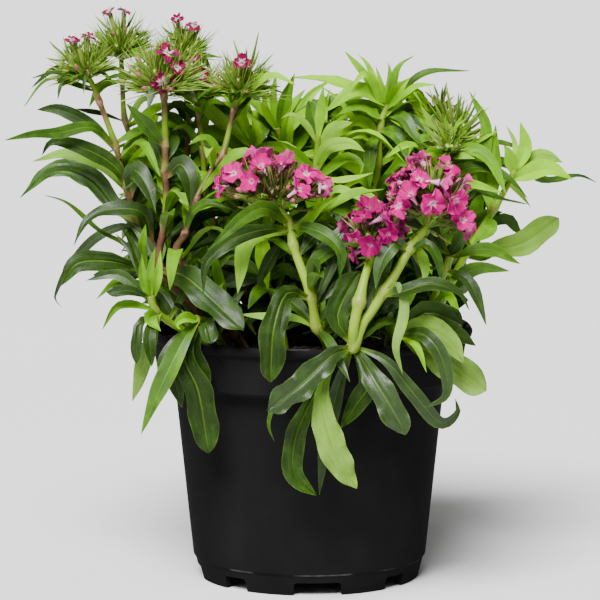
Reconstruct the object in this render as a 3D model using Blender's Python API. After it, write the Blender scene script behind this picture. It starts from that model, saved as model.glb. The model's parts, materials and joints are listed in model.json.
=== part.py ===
"""Potted sweet william: a clump of leafy flowering stems in a black nursery pot.

Places of stems, leaves and florets are given as the front view shows them, in millimetres:
x to the right and h up, on the plane through the pot's axis, and y as the depth behind it.
The front view is taken from VIEW_DISTANCE, looking VIEW_ELEVATION down on VIEW_HEIGHT.
"""
import math
import random

import bmesh
import bpy
from mathutils import Vector
from mathutils.bvhtree import BVHTree

MM = 0.001
GAP = 0.3
VIEW_DISTANCE = 2200.0
VIEW_ELEVATION = math.radians(8.0)
VIEW_HEIGHT = 161.5
TO_VIEWER = Vector((0.0, -1.0, 0.14))
UP = Vector((0.0, 0.0, 1.0))

# The pot is a 3 litre nursery pot, 190 mm over its lip and 147 mm high
POT_SIDES = 28
POT_WALL = 1.6
POT_HEIGHT = 147.0
LIP_RADIUS = 95.0
FOOT_RADIUS = 63.9
FOOT_WALL = 3.1
BASE_UNDERSIDE = 8.2
BASE_THICKNESS = 2.0
SHOULDER = (67.9, 13.0)
STEP = (78.7, 116.3)
BAND_FOOT = (88.1, 118.8)
BAND_TOP = (91.4, 140.6)
SLOT_TURN = math.radians(4.0)
SLOT_COUNT = 8
WIDE_SLOT = 28.0
NARROW_SLOT = 16.0
SLOT_HEIGHT = 7.7
DRAIN_HOLE_RADIUS = 5.0
DRAIN_HOLE_RING = 42.0

SOIL_HEIGHT = 137.0
SOIL_BUMP = 1.4
STEM_DEPTH = 12.0
HOLE_SIDES = 5
HOLE_CLEARANCE = 0.8

# Stems taper to their tops and swell at their joints
STEM_TAPER = 0.3
JOINT_SWELL = 1.4
BRANCH_RADII = (2.6, 2.6, 2.9, 2.2, 2.0)

# Blades this wide are channelled along their midrib
CHANNELLED_WIDTH = 11.0
MIDRIB_STEPS = 24
NEAR_LENGTHS = (38, 62)
FAR_LENGTHS = (55, 85)

BRACT_SHARES = (1.0, 0.7, 0.5)
GOLDEN_TURN = 2.39996
SCRAP_CORNERS = 8

# What each kind of blade is like: where it is widest, how blunt its tip is, how wide its foot
# is against its widest place, how deep its channel is against its width, and its thickness
BLADE_KINDS = {
    "old": (0.38, 1.6, 0.50, 0.16, 0.9),
    "mid": (0.40, 1.7, 0.50, 0.20, 0.9),
    "new": (0.36, 1.5, 0.55, 0.24, 0.8),
    "pale": (0.42, 1.8, 0.45, -0.14, 0.9),
    "base": (0.62, 3.2, 0.30, 0.10, 1.0),
    "dark": (0.50, 2.2, 0.40, 0.12, 0.9),
}

# Each stem: where it leaves the soil, the places it passes (x, h, y), which of them are
# swollen joints, its radius, and its leaves: the place that a leaf grows from, the places
# along its midrib, its width, how far it faces the viewer and its kind
STEMS = {
    "stem_far_left": {
        "soil": (-52, -8),
        "places": ((-72, 165, -15), (-92, 195, -22), (-98.5, 206, -24), (-106, 227, -27),
                   (-112, 251, -28), (-115.9, 262.6, -28), (-121.5, 277.5, -28),
                   (-126, 288.5, -28)),
        "joints": (1, 3, 4, 6),
        "radius": 1.9,
        "leaves": (
            (7, ((-143, 294, -36), (-161, 290.5, -38)), 4.5, 0.6, "old"),
            (7, ((-150, 290, -20), (-165.4, 273.5, -18)), 4.5, 0.3, "mid"),
            (7, ((-141.5, 288, -40), (-145.5, 277.7, -42)), 4, 0.7, "old"),
            (7, ((-110, 292, -38), (-93, 288, -46)), 4, 0.5, "old"),
            (4, ((-125, 262, -38), (-145, 259, -46), (-160, 258, -53), (-177, 254.5, -60)),
             7.5, 0.7, "old"),
            (4, ((-124, 262, -22), (-143, 272, -18), (-157.5, 272.5, -16)), 8, 0.7, "dark"),
            (3, ((-112, 239, -33), (-128, 249, -37), (-148, 254, -38), (-155, 245.5, -40)),
             10, 0.8, "old"),
            (3, ((-120, 240, -22), (-140, 247, -20), (-160.5, 242.3, -20)), 7, 0.7, "pale"),
            (3, ((-102, 237, -38), (-95, 230, -46), (-89, 212, -52)), 12, 0.8, "old"),
            (2, ((-112, 216, -18), (-127, 233, -14), (-148, 238, -12), (-167.5, 221.5, -10)),
             13, 0.85, "mid"),
            (1, ((-97, 213, -32), (-118, 214, -38), (-130, 207, -42), (-137, 193, -44)),
             10, 0.8, "old"),
            (1, ((-105, 204.5, -14), (-125, 197, -8), (-140, 180, -4), (-148, 163, -2),
                 (-143.5, 157.5, -2)), 6, 0.7, "old"),
        ),
    },
    "stem_second_left": {
        "soil": (-60, 14),
        "places": ((-78, 170, 11), (-91, 205, 6), (-95, 243, 0), (-101, 252, -4),
                   (-106.6, 266.5, -6), (-108, 290, -8)),
        "joints": (1, 2, 4, 5),
        "radius": 1.8,
        "leaves": (
            (5, ((-120, 286, -14), (-127.3, 273.5, -16)), 6, 0.7, "mid"),
            (5, ((-101, 298, -16), (-96, 303, -20)), 4, 0.5, "old"),
            (4, ((-120, 270, -4), (-135, 273, -2)), 4.5, 0.4, "dark"),
            (4, ((-98, 277, -14), (-88, 280, -18)), 4.5, 0.6, "pale"),
            (2, ((-104, 252, 10), (-118, 247, 16)), 7, 0.5, "mid"),
        ),
    },
    "stem_third_left": {
        "soil": (-46, -30),
        "places": ((-68, 158, -36), (-87, 180, -42), (-84, 206, -42), (-83, 222, -42),
                   (-83.5, 237, -40), (-83.5, 252, -38), (-84, 280, -36)),
        "joints": (1, 2, 4, 5, 6),
        "radius": 2.2,
        "leaves": (
            (1, ((-72, 175, -62), (-55, 160, -76), (-38.6, 144, -86)), 17, 0.95, "base"),
            (5, ((-95, 264, -46), (-106, 276, -50)), 9, 0.8, "old"),
            (4, ((-88, 250, -30), (-94, 265, -26)), 8, 0.8, "old"),
            (4, ((-75, 241, -50), (-69.5, 232, -56), (-69, 214.5, -58)), 12, 0.85, "old"),
            (6, ((-94, 290, -44), (-103, 288, -48)), 4, 0.5, "mid"),
        ),
    },
    "stem_fourth_left": {
        "soil": (-28, 10),
        "places": ((-48, 180, 3), (-66, 221, -4), (-71, 237, -6), (-70, 258, -3),
                   (-71.5, 285, 1)),
        "joints": (2, 3, 4),
        "radius": 1.8,
        "leaves": (
            (4, ((-62, 302, -4), (-50, 302.5, -8)), 5, 0.3, "mid"),
            (4, ((-80, 298, 6), (-88, 306, 8)), 4, 0.4, "old"),
            (3, ((-78, 268, 8), (-90, 270, 12)), 6, 0.5, "mid"),
            (2, ((-62, 250, 4), (-54, 262, 8)), 7, 0.7, "mid"),
        ),
    },
    "stem_fifth_left": {
        "soil": (-18, -14),
        "places": ((-42, 180, -15), (-58, 215, -18), (-62, 250, -17), (-64, 270, -14)),
        "joints": (1, 2, 3),
        "radius": 1.8,
        "leaves": (
            (3, ((-56, 277, -20), (-48, 275, -24)), 4.5, 0.5, "mid"),
            (3, ((-76, 276, -18), (-86, 268, -22)), 5, 0.6, "old"),
            (2, ((-72, 262, -26), (-80, 260, -28)), 6, 0.7, "mid"),
        ),
    },
    "stem_sixth_left": {
        "soil": (-36, -46),
        "places": ((-58, 160, -54), (-76.8, 188, -59), (-72, 201, -59), (-65.5, 221, -55),
                   (-54, 241, -48), (-50, 247, -45), (-43.3, 273, -38)),
        "joints": (1, 2, 3, 5, 6),
        "radius": 1.9,
        "leaves": (
            (2, ((-68, 213, -64), (-58, 218, -68), (-42, 213, -72)), 6.5, 0.6, "old"),
            (2, ((-64, 208, -50), (-55, 212, -46), (-45, 211, -44)), 6, 0.5, "dark"),
            (6, ((-48, 284, -44), (-57, 282, -48)), 4.5, 0.4, "mid"),
            (6, ((-28, 284, -36), (-11, 281, -36)), 4.5, 0.5, "dark"),
            (5, ((-60, 256, -50), (-70, 252, -54)), 6, 0.6, "mid"),
        ),
    },
    "stem_middle_bloom": {
        "soil": (12, -68),
        "places": ((8, 140, -82), (3.8, 146, -88), (0.9, 163, -88), (-5, 180, -84),
                   (-9.5, 193, -80), (-12.3, 206.5, -77)),
        "joints": (1, 2, 4, 5),
        "radius": 2.8,
        "leaves": (
            (2, ((-13, 166, -101), (-21, 145, -113), (-23, 113, -114)), 14.5, 0.97, "base"),
            (1, ((11, 137, -104), (23.4, 113, -118)), 6, 0.7, "mid"),
            (1, ((-8, 151, -90), (-24, 152, -90), (-41, 153, -88)), 5.5, 0.5, "pale"),
            (5, ((-25, 215, -86), (-38, 210, -92), (-60, 190, -98)), 9, 0.8, "old"),
            (5, ((-25, 203, -90), (-45, 197, -99), (-60, 183, -105), (-62, 164, -107)),
             9, 0.8, "old"),
            (5, ((-24, 201, -80), (-37, 194, -86), (-42, 165, -90)), 9.5, 0.9, "pale"),
            (5, ((-2, 204, -86), (10, 199, -92), (18, 189, -96), (17, 173, -96)),
             9, 0.8, "old"),
            (4, ((-18, 192, -74), (-26, 180, -72), (-30, 168, -72)), 8, 0.7, "dark"),
        ),
    },
    "stem_right_bloom": {
        "soil": (24, -64),
        "places": ((24.2, 143, -76), (24.6, 139.5, -90), (25, 133.5, -104), (31, 148, -104),
                   (36, 155, -102), (43.3, 166.7, -100), (47.8, 173.5, -98),
                   (58.2, 192, -92)),
        "joints": (2, 5, 7),
        "radius": 3.0,
        "branch": (2, ((25.5, 146, -109), (28.5, 160, -106), (31.5, 173.5, -101))),
        "leaves": (
            (2, ((13, 129, -112), (-5, 112, -120), (-25, 96, -122)), 15, 0.97, "base"),
            (2, ((16, 152, -100), (28.5, 178, -95)), 16, 0.95, "base"),
            (2, ((36, 117, -114), (48, 97, -120), (56, 82, -120)), 14.5, 0.97, "base"),
            (2, ((44, 126, -108), (60, 107, -110), (76, 89, -108), (86, 95, -104),
                 (84.5, 104, -102)), 9, 0.9, "dark"),
            (2, ((13, 123, -106), (2, 105, -108), (-8.5, 80, -106), (-9, 58, -104),
                 (4, 46, -104)), 12, 0.9, "mid"),
            (2, ((11, 120, -112), (7, 98, -116), (15, 70, -116), (27.5, 50, -114)),
             16, 0.97, "pale"),
            (2, ((17, 112, -98), (9, 76, -96), (5.5, 46, -94)), 9, 0.9, "mid"),
            (2, ((34, 113, -100), (27, 100, -98), (18, 86, -95)), 12, 0.9, "dark"),
            (2, ((4, 122, -98), (-15, 110, -104), (-24, 90, -106), (-20.5, 77.6, -104)),
             5, 0.6, "mid"),
            (5, ((51, 171, -107), (55, 155, -111), (50, 135, -116), (54, 117.5, -116)),
             6, 0.85, "pale"),
            (5, ((55, 167, -110), (70, 171, -112), (86, 166, -110), (93, 155, -108)),
             11, 0.6, "old"),
            (7, ((49, 195, -102), (41, 183, -106), (38, 168, -108)), 10, 0.85, "old"),
            (7, ((67, 195, -98), (74, 186, -101), (76.5, 169, -101)), 6.5, 0.7, "old"),
            (7, ((63, 190, -86), (67, 180, -86), (66, 171, -88)), 6.5, 0.7, "pale"),
        ),
    },
    "stem_top_whorl": {
        "soil": (28, 22),
        "places": ((34, 190, 22), (38, 225, 18), (39.8, 240.7, 16), (41, 262, 12),
                   (45, 276, 10)),
        "joints": (1, 2, 3, 4),
        "radius": 2.2,
        "leaves": (
            (4, ((32, 292, 6), (20, 306.5, 4)), 5.5, 0.7, "mid"),
            (4, ((34, 297, 16), (28, 304.5, 18)), 4.5, 0.6, "mid"),
            (4, ((33, 293, 0), (23, 284, -4)), 5.5, 0.6, "mid"),
            (4, ((41, 288, 4), (38, 298, 2)), 3.5, 0.6, "new"),
            (4, ((46.5, 290, 14), (45.5, 300, 15)), 4.5, 0.7, "mid"),
            (4, ((51, 296, 5), (60.5, 304, 2)), 5.5, 0.6, "mid"),
            (4, ((65, 293, 14), (93, 295, 18)), 5.5, 0.4, "old"),
            (4, ((60, 285, 0), (73, 287, -4)), 5.5, 0.5, "mid"),
            (4, ((52, 285, -6), (58, 291, -10)), 9, 0.9, "new"),
            (4, ((61, 284, 20), (68, 278, 24)), 5.5, 0.5, "mid"),
            (4, ((27, 284, 0), (9, 271, -6)), 9, 0.8, "mid"),
            (4, ((28, 276, 18), (10, 268, 24)), 6.5, 0.6, "mid"),
            (4, ((54, 268, -4), (60, 258, -10), (66, 250, -12)), 8, 0.85, "old"),
            (3, ((50, 258, 0), (58, 244, -4)), 8.5, 0.85, "old"),
            (3, ((35, 250, 2), (35, 227, -2)), 8, 0.85, "old"),
            (3, ((30, 266, 4), (20, 262, 2)), 7, 0.8, "mid"),
            (2, ((50, 240, 26), (60, 226, 32)), 9, 0.5, "mid"),
            (1, ((28, 232, 8), (18, 224, 2)), 8, 0.7, "mid"),
            (1, ((46, 232, 4), (54, 215, -8)), 9, 0.7, "old"),
        ),
    },
    "stem_green_head": {
        "soil": (58, 20),
        "places": ((67, 190, 15), (76.5, 230, 6), (79.5, 245, 2)),
        "joints": (1, 2),
        "radius": 2.3,
        "leaves": (
            (2, ((92, 250, -10), (104, 243, -15), (114, 222.5, -20)), 8.5, 0.8, "mid"),
            (2, ((100, 244, 14), (120, 238, 30), (138, 231.5, 44), (155, 234.5, 54),
                 (166.8, 230, 60)), 6.5, 0.4, "dark"),
            (2, ((100, 245, 2), (120, 240, 4), (139, 232, 4)), 6, 0.5, "old"),
            (2, ((70, 256, -2), (60, 252, -6), (57, 245, -6)), 6.5, 0.7, "mid"),
            (2, ((71, 248, -12), (63, 243, -18)), 7.5, 0.8, "mid"),
            (2, ((87, 246, -14), (96, 244, -20)), 5, 0.6, "pale"),
            (2, ((95, 252, 8), (110, 253.5, 10), (125, 249, 10)), 5, 0.3, "dark"),
            (1, ((90, 238, -4), (104.3, 238, -8), (118, 230, -12), (126.6, 220.5, -14)),
             8.5, 0.7, "old"),
            (1, ((95, 226, -18), (110, 221, -24), (126.5, 217.5, -28)), 6.5, 0.4, "dark"),
            (1, ((98, 238, 12), (115, 231, 18), (128.6, 215.4, 20)), 6, 0.7, "pale"),
            (1, ((94, 229, -26), (112, 224, -34)), 7, 0.5, "mid"),
        ),
    },
    "stem_dark_head": {
        "soil": (48, 42),
        "places": ((60, 200, 38), (70, 240, 34), (75, 262, 31)),
        "joints": (1, 2),
        "radius": 1.8,
        "leaves": (
            (2, ((86, 270, 36), (97, 268, 40)), 5, 0.5, "mid"),
            (2, ((64, 270, 38), (54, 270, 44)), 5, 0.5, "mid"),
            (1, ((88, 252, 42), (104, 246, 50)), 8, 0.5, "mid"),
        ),
    },
    "shoot_top_right": {
        "soil": (66, -18),
        "places": ((86, 180, -14), (107, 215, -10), (119, 237, -8)),
        "joints": (1, 2),
        "radius": 2.2,
        "leaves": (
            (2, ((124.5, 250, -6), (121.7, 265.5, -6)), 8.5, 0.95, "new"),
            (2, ((133, 246, -2), (146.4, 241.7, 2)), 8.5, 0.85, "pale"),
            (2, ((137, 238, -14), (152.5, 231.8, -16)), 11.5, 0.9, "new"),
            (2, ((115, 247, -14), (112, 252, -16)), 8, 0.9, "new"),
            (2, ((118.8, 252, 4), (113.5, 263.5, 8)), 3.5, 0.6, "pale"),
            (1, ((107, 240, -4), (107.5, 264, -2)), 8.5, 0.9, "mid"),
            (1, ((100, 237, 0), (102, 262, 2), (92, 283.5, 4)), 8.5, 0.8, "mid"),
            (1, ((104, 202, -30), (95, 195, -38)), 9, 0.7, "mid"),
        ),
    },
    "shoot_far_right": {
        "soil": (70, 4),
        "places": ((82, 172, 7), (92, 190, 10), (97, 202, 10)),
        "joints": (1, 2),
        "radius": 2.2,
        "leaves": (
            (1, ((108, 191, 10), (125, 196, 10), (144.6, 209.5, 10)), 15, 0.93, "base"),
            (2, ((106, 207, 14), (115, 209, 14), (120, 203, 14), (123.7, 199.5, 14)),
             7, 0.7, "dark"),
            (2, ((101, 210, 0), (112, 213, -6)), 9, 0.8, "old"),
            (1, ((100, 186, 20), (116, 194, 30)), 8, 0.5, "mid"),
            (2, ((90, 215, 20), (80, 222, 26)), 9, 0.5, "mid"),
            (2, ((98, 218, 4), (106, 226, 2)), 9, 0.8, "mid"),
        ),
    },
    "shoot_right": {
        "soil": (62, -38),
        "places": ((71, 160, -52), (79, 180, -64), (81, 187, -65)),
        "joints": (1, 2),
        "radius": 2.2,
        "leaves": (
            (1, ((91, 174, -72), (99, 158, -75), (102.7, 146, -75)), 7.5, 0.7, "old"),
            (0, ((84, 171, -44), (97, 180, -36), (116.5, 178.5, -30)), 9, 0.8, "mid"),
            (2, ((102, 191.5, -62), (122.5, 182.5, -60)), 7.5, 0.6, "mid"),
            (0, ((80, 164, -68), (85, 156, -74), (89, 146.6, -76)), 6, 0.7, "new"),
            (1, ((82, 174, -52), (77, 164, -46)), 7, 0.7, "new"),
            (2, ((88, 200, -56), (92, 212, -50)), 8, 0.8, "mid"),
        ),
    },
    "shoot_right_low": {
        "soil": (44, -56),
        "places": ((48, 147, -73), (52, 141, -88)),
        "joints": (1,),
        "radius": 2.4,
        "leaves": (
            (1, ((68, 154, -92), (89, 146.5, -94)), 15, 0.85, "base"),
            (1, ((66, 145, -100), (80, 138, -103), (90, 124, -103)), 16, 0.95, "pale"),
            (1, ((66, 133, -92), (80, 124, -92), (92, 116, -90), (103, 108, -88)),
             17, 0.97, "base"),
            (1, ((66.5, 141, -110), (76.4, 128, -114), (80, 106, -112), (66, 98, -108)),
             9, 0.8, "mid"),
            (1, ((62, 134, -112), (68, 118.5, -114)), 6, 0.7, "new"),
            (1, ((70, 146, -80), (85, 142, -76), (96.8, 134.5, -74)), 11, 0.85, "dark"),
        ),
    },
    "shoot_far_left": {
        "soil": (-58, -42),
        "places": ((-82, 149, -55), (-90, 156, -61), (-92.4, 164, -62)),
        "joints": (1, 2),
        "radius": 2.2,
        "leaves": (
            (2, ((-92.5, 178, -68), (-89.4, 193, -70)), 5, 0.8, "new"),
            (2, ((-88, 176, -58), (-86.5, 191, -56)), 5, 0.8, "new"),
            (2, ((-97, 175, -64), (-97.5, 189, -64)), 6, 0.85, "new"),
            (1, ((-103, 159, -64), (-113, 157, -66), (-121, 143.5, -66)), 5, 0.8, "new"),
            (1, ((-93, 150, -70), (-86.5, 143, -74)), 9.5, 0.9, "new"),
            (2, ((-104, 168, -56), (-112, 172, -53), (-124.5, 161.5, -52)), 6, 0.7, "new"),
            (2, ((-110, 176, -58), (-130, 173, -58)), 6.5, 0.8, "mid"),
            (2, ((-104, 167, -70), (-118, 166, -74)), 6.5, 0.9, "base"),
            (1, ((-98, 149, -67), (-100.5, 140, -71), (-101, 124, -73)), 6.5, 0.8, "base"),
            (1, ((-93, 142, -76), (-92, 122, -80)), 7.5, 0.8, "dark"),
            (1, ((-94, 134, -62), (-99, 116, -60), (-103.5, 101.5, -58)), 9.5, 0.9, "pale"),
        ),
    },
    "shoot_left_low": {
        "soil": (-48, -54),
        "places": ((-59, 148, -72), (-66, 150, -81)),
        "joints": (1,),
        "radius": 2.3,
        "leaves": (
            (1, ((-74, 137, -94), (-88, 108, -100), (-98.7, 82, -100)), 11.5, 0.97, "mid"),
            (1, ((-73, 128, -88), (-65, 108, -86), (-59, 71, -80)), 16, 0.97, "base"),
            (1, ((-68, 132, -80), (-63, 116, -78), (-67, 98, -76)), 12, 0.9, "dark"),
            (1, ((-73, 151, -92), (-78, 147, -96), (-75, 144, -98)), 7, 0.7, "new"),
            (1, ((-60, 147, -90), (-57, 136, -94)), 10, 0.9, "base"),
            (1, ((-79, 124, -86), (-74.5, 98, -84)), 10, 0.9, "dark"),
            (1, ((-83, 130, -92), (-84.7, 106, -94)), 8.5, 0.8, "dark"),
        ),
    },
    "shoot_left_mid": {
        "soil": (-66, -20),
        "places": ((-84, 166, -27), (-97, 180, -33)),
        "joints": (1,),
        "radius": 2.1,
        "leaves": (
            (1, ((-115, 184, -38), (-135, 183, -42), (-144, 170, -44)), 12.5, 0.9, "dark"),
            (1, ((-108, 194, -30), (-122, 202, -28), (-140, 218, -26), (-154, 223, -24)),
             6, 0.1, "old"),
            (1, ((-112, 178, -24), (-126, 176, -20)), 8, 0.6, "dark"),
            (1, ((-97, 192, -42), (-95, 206, -46)), 6, 0.8, "mid"),
        ),
    },
    "shoot_middle": {
        "soil": (-20, 28),
        "places": ((-26, 200, 25), (-32, 236, 18), (-32.5, 252, 14)),
        "joints": (1, 2),
        "radius": 2.1,
        "leaves": (
            (2, ((-45, 260, 8), (-60, 274, 2), (-77, 283, -2)), 8.5, 0.85, "pale"),
            (2, ((-47, 270, 20), (-60, 279, 24)), 8.5, 0.8, "mid"),
            (2, ((-45, 254, 0), (-60, 261, -6), (-72, 265, -10)), 7.5, 0.7, "mid"),
            (2, ((-31, 258, 8), (-33, 268, 6)), 8.5, 0.9, "new"),
            (1, ((-44, 244, 10), (-54, 240, 4)), 9, 0.7, "mid"),
            (1, ((-24, 246, 6), (-16, 240, -2)), 9, 0.7, "mid"),
            (2, ((-26, 262, 22), (-20, 258, 30)), 8, 0.6, "mid"),
        ),
    },
    "shoot_middle_back": {
        "soil": (-4, 34),
        "places": ((-8, 200, 32), (-14, 246, 25), (-19, 262, 21)),
        "joints": (1, 2),
        "radius": 2.1,
        "leaves": (
            (2, ((-21, 278, 20), (-19, 295, 20)), 4.5, 0.8, "mid"),
            (2, ((-26, 274, 12), (-24, 284, 10)), 5, 0.8, "mid"),
            (2, ((-14, 278, 14), (-8.5, 293.5, 12)), 8.5, 0.9, "mid"),
            (2, ((-11, 274, 28), (-2, 284.5, 32)), 5.5, 0.6, "mid"),
            (1, ((-13, 262, 12), (-10, 276, 8)), 8.5, 0.9, "new"),
            (1, ((-4, 258, 24), (2, 272, 24)), 8, 0.8, "mid"),
        ),
    },
    "shoot_centre": {
        "soil": (10, 6),
        "places": ((9, 175, 4), (6, 214, 0), (4, 238, -2), (5, 256, -2)),
        "joints": (1, 2, 3),
        "radius": 2.2,
        "leaves": (
            (3, ((6.5, 271, 0), (8, 286, 0)), 6.5, 0.85, "mid"),
            (3, ((-2, 264, -8), (-10, 270, -14), (-17, 267, -18)), 5, 0.7, "pale"),
            (3, ((14, 262, -8), (25, 265, -12)), 7.5, 0.8, "pale"),
            (2, ((10, 250, -12), (22, 253, -18), (32, 248, -22)), 8.5, 0.85, "pale"),
            (3, ((16, 256, 6), (27, 266, 8)), 7, 0.8, "mid"),
            (2, ((16, 232, -16), (28, 233.5, -22), (37, 236, -26)), 5.5, 0.5, "pale"),
            (2, ((20, 244, -8), (30, 241, -12), (29, 235, -14)), 7.5, 0.7, "mid"),
            (2, ((-8, 246, -10), (-16, 254, -14)), 8, 0.8, "mid"),
            (1, ((18, 215, -14), (27, 208, -22), (33, 199, -28)), 7, 0.7, "old"),
            (1, ((14, 226, -22), (24, 224, -32), (36, 216, -40)), 6, 0.6, "pale"),
            (1, ((-4, 222, -8), (-12, 214, -16)), 8, 0.6, "mid"),
        ),
    },
    "shoot_middle_low": {
        "soil": (-14, -34),
        "places": ((-20, 160, -42), (-26, 176, -46), (-29, 202, -48)),
        "joints": (1, 2),
        "radius": 2.1,
        "leaves": (
            (2, ((-27, 190, -58), (-24, 167, -62)), 9.5, 0.9, "new"),
            (1, ((-38, 174, -54), (-52, 170, -56)), 8.5, 0.8, "dark"),
            (1, ((-40, 184, -46), (-55, 184, -44)), 8, 0.7, "mid"),
            (1, ((-30, 166, -58), (-36, 156, -64)), 8, 0.8, "mid"),
            (1, ((-14, 180, -56), (-4, 172, -60)), 7.5, 0.8, "mid"),
            (2, ((-38, 212, -50), (-50, 204, -50)), 8, 0.6, "mid"),
            (2, ((-20, 214, -44), (-8, 216, -40)), 8, 0.6, "mid"),
        ),
    },
}


# The stems of the far side, whose leaves all follow a rule
BACK_STEMS = {
    "back_stem_left": {
        "soil": (-44, 44), "places": ((-62, 185, 68), (-76, 212, 82), (-82, 230, 90)),
        "joints": (0, 1, 2), "radius": 2.1, "leaves": (),
    },
    "back_stem_crimson": {
        "soil": (-18, 56), "places": ((-22, 185, 78), (-30, 212, 90), (-36, 228, 98)),
        "joints": (0, 1, 2), "radius": 1.9, "leaves": (),
    },
    "back_stem_pink": {
        "soil": (18, 58), "places": ((20, 172, 80), (22, 190, 90)),
        "joints": (0, 1), "radius": 2.6, "leaves": (),
    },
    "back_stem_right": {
        "soil": (46, 50), "places": ((58, 185, 68), (70, 212, 82), (76, 230, 90)),
        "joints": (0, 1, 2), "radius": 2.1, "leaves": (),
    },
    "back_shoot_low": {
        "soil": (0, 70), "places": ((0, 166, 86), (-1, 172, 98)),
        "joints": (0, 1), "radius": 2.2, "leaves": (),
    },
    "back_shoot_left": {
        "soil": (-62, 32), "places": ((-75, 166, 46), (-86, 178, 58)),
        "joints": (0, 1), "radius": 2.2, "leaves": (),
    },
    "back_shoot_right": {
        "soil": (62, 34), "places": ((75, 166, 48), (86, 178, 60)),
        "joints": (0, 1), "radius": 2.2, "leaves": (),
    },
}
ALL_STEMS = {**STEMS, **BACK_STEMS}

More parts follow.
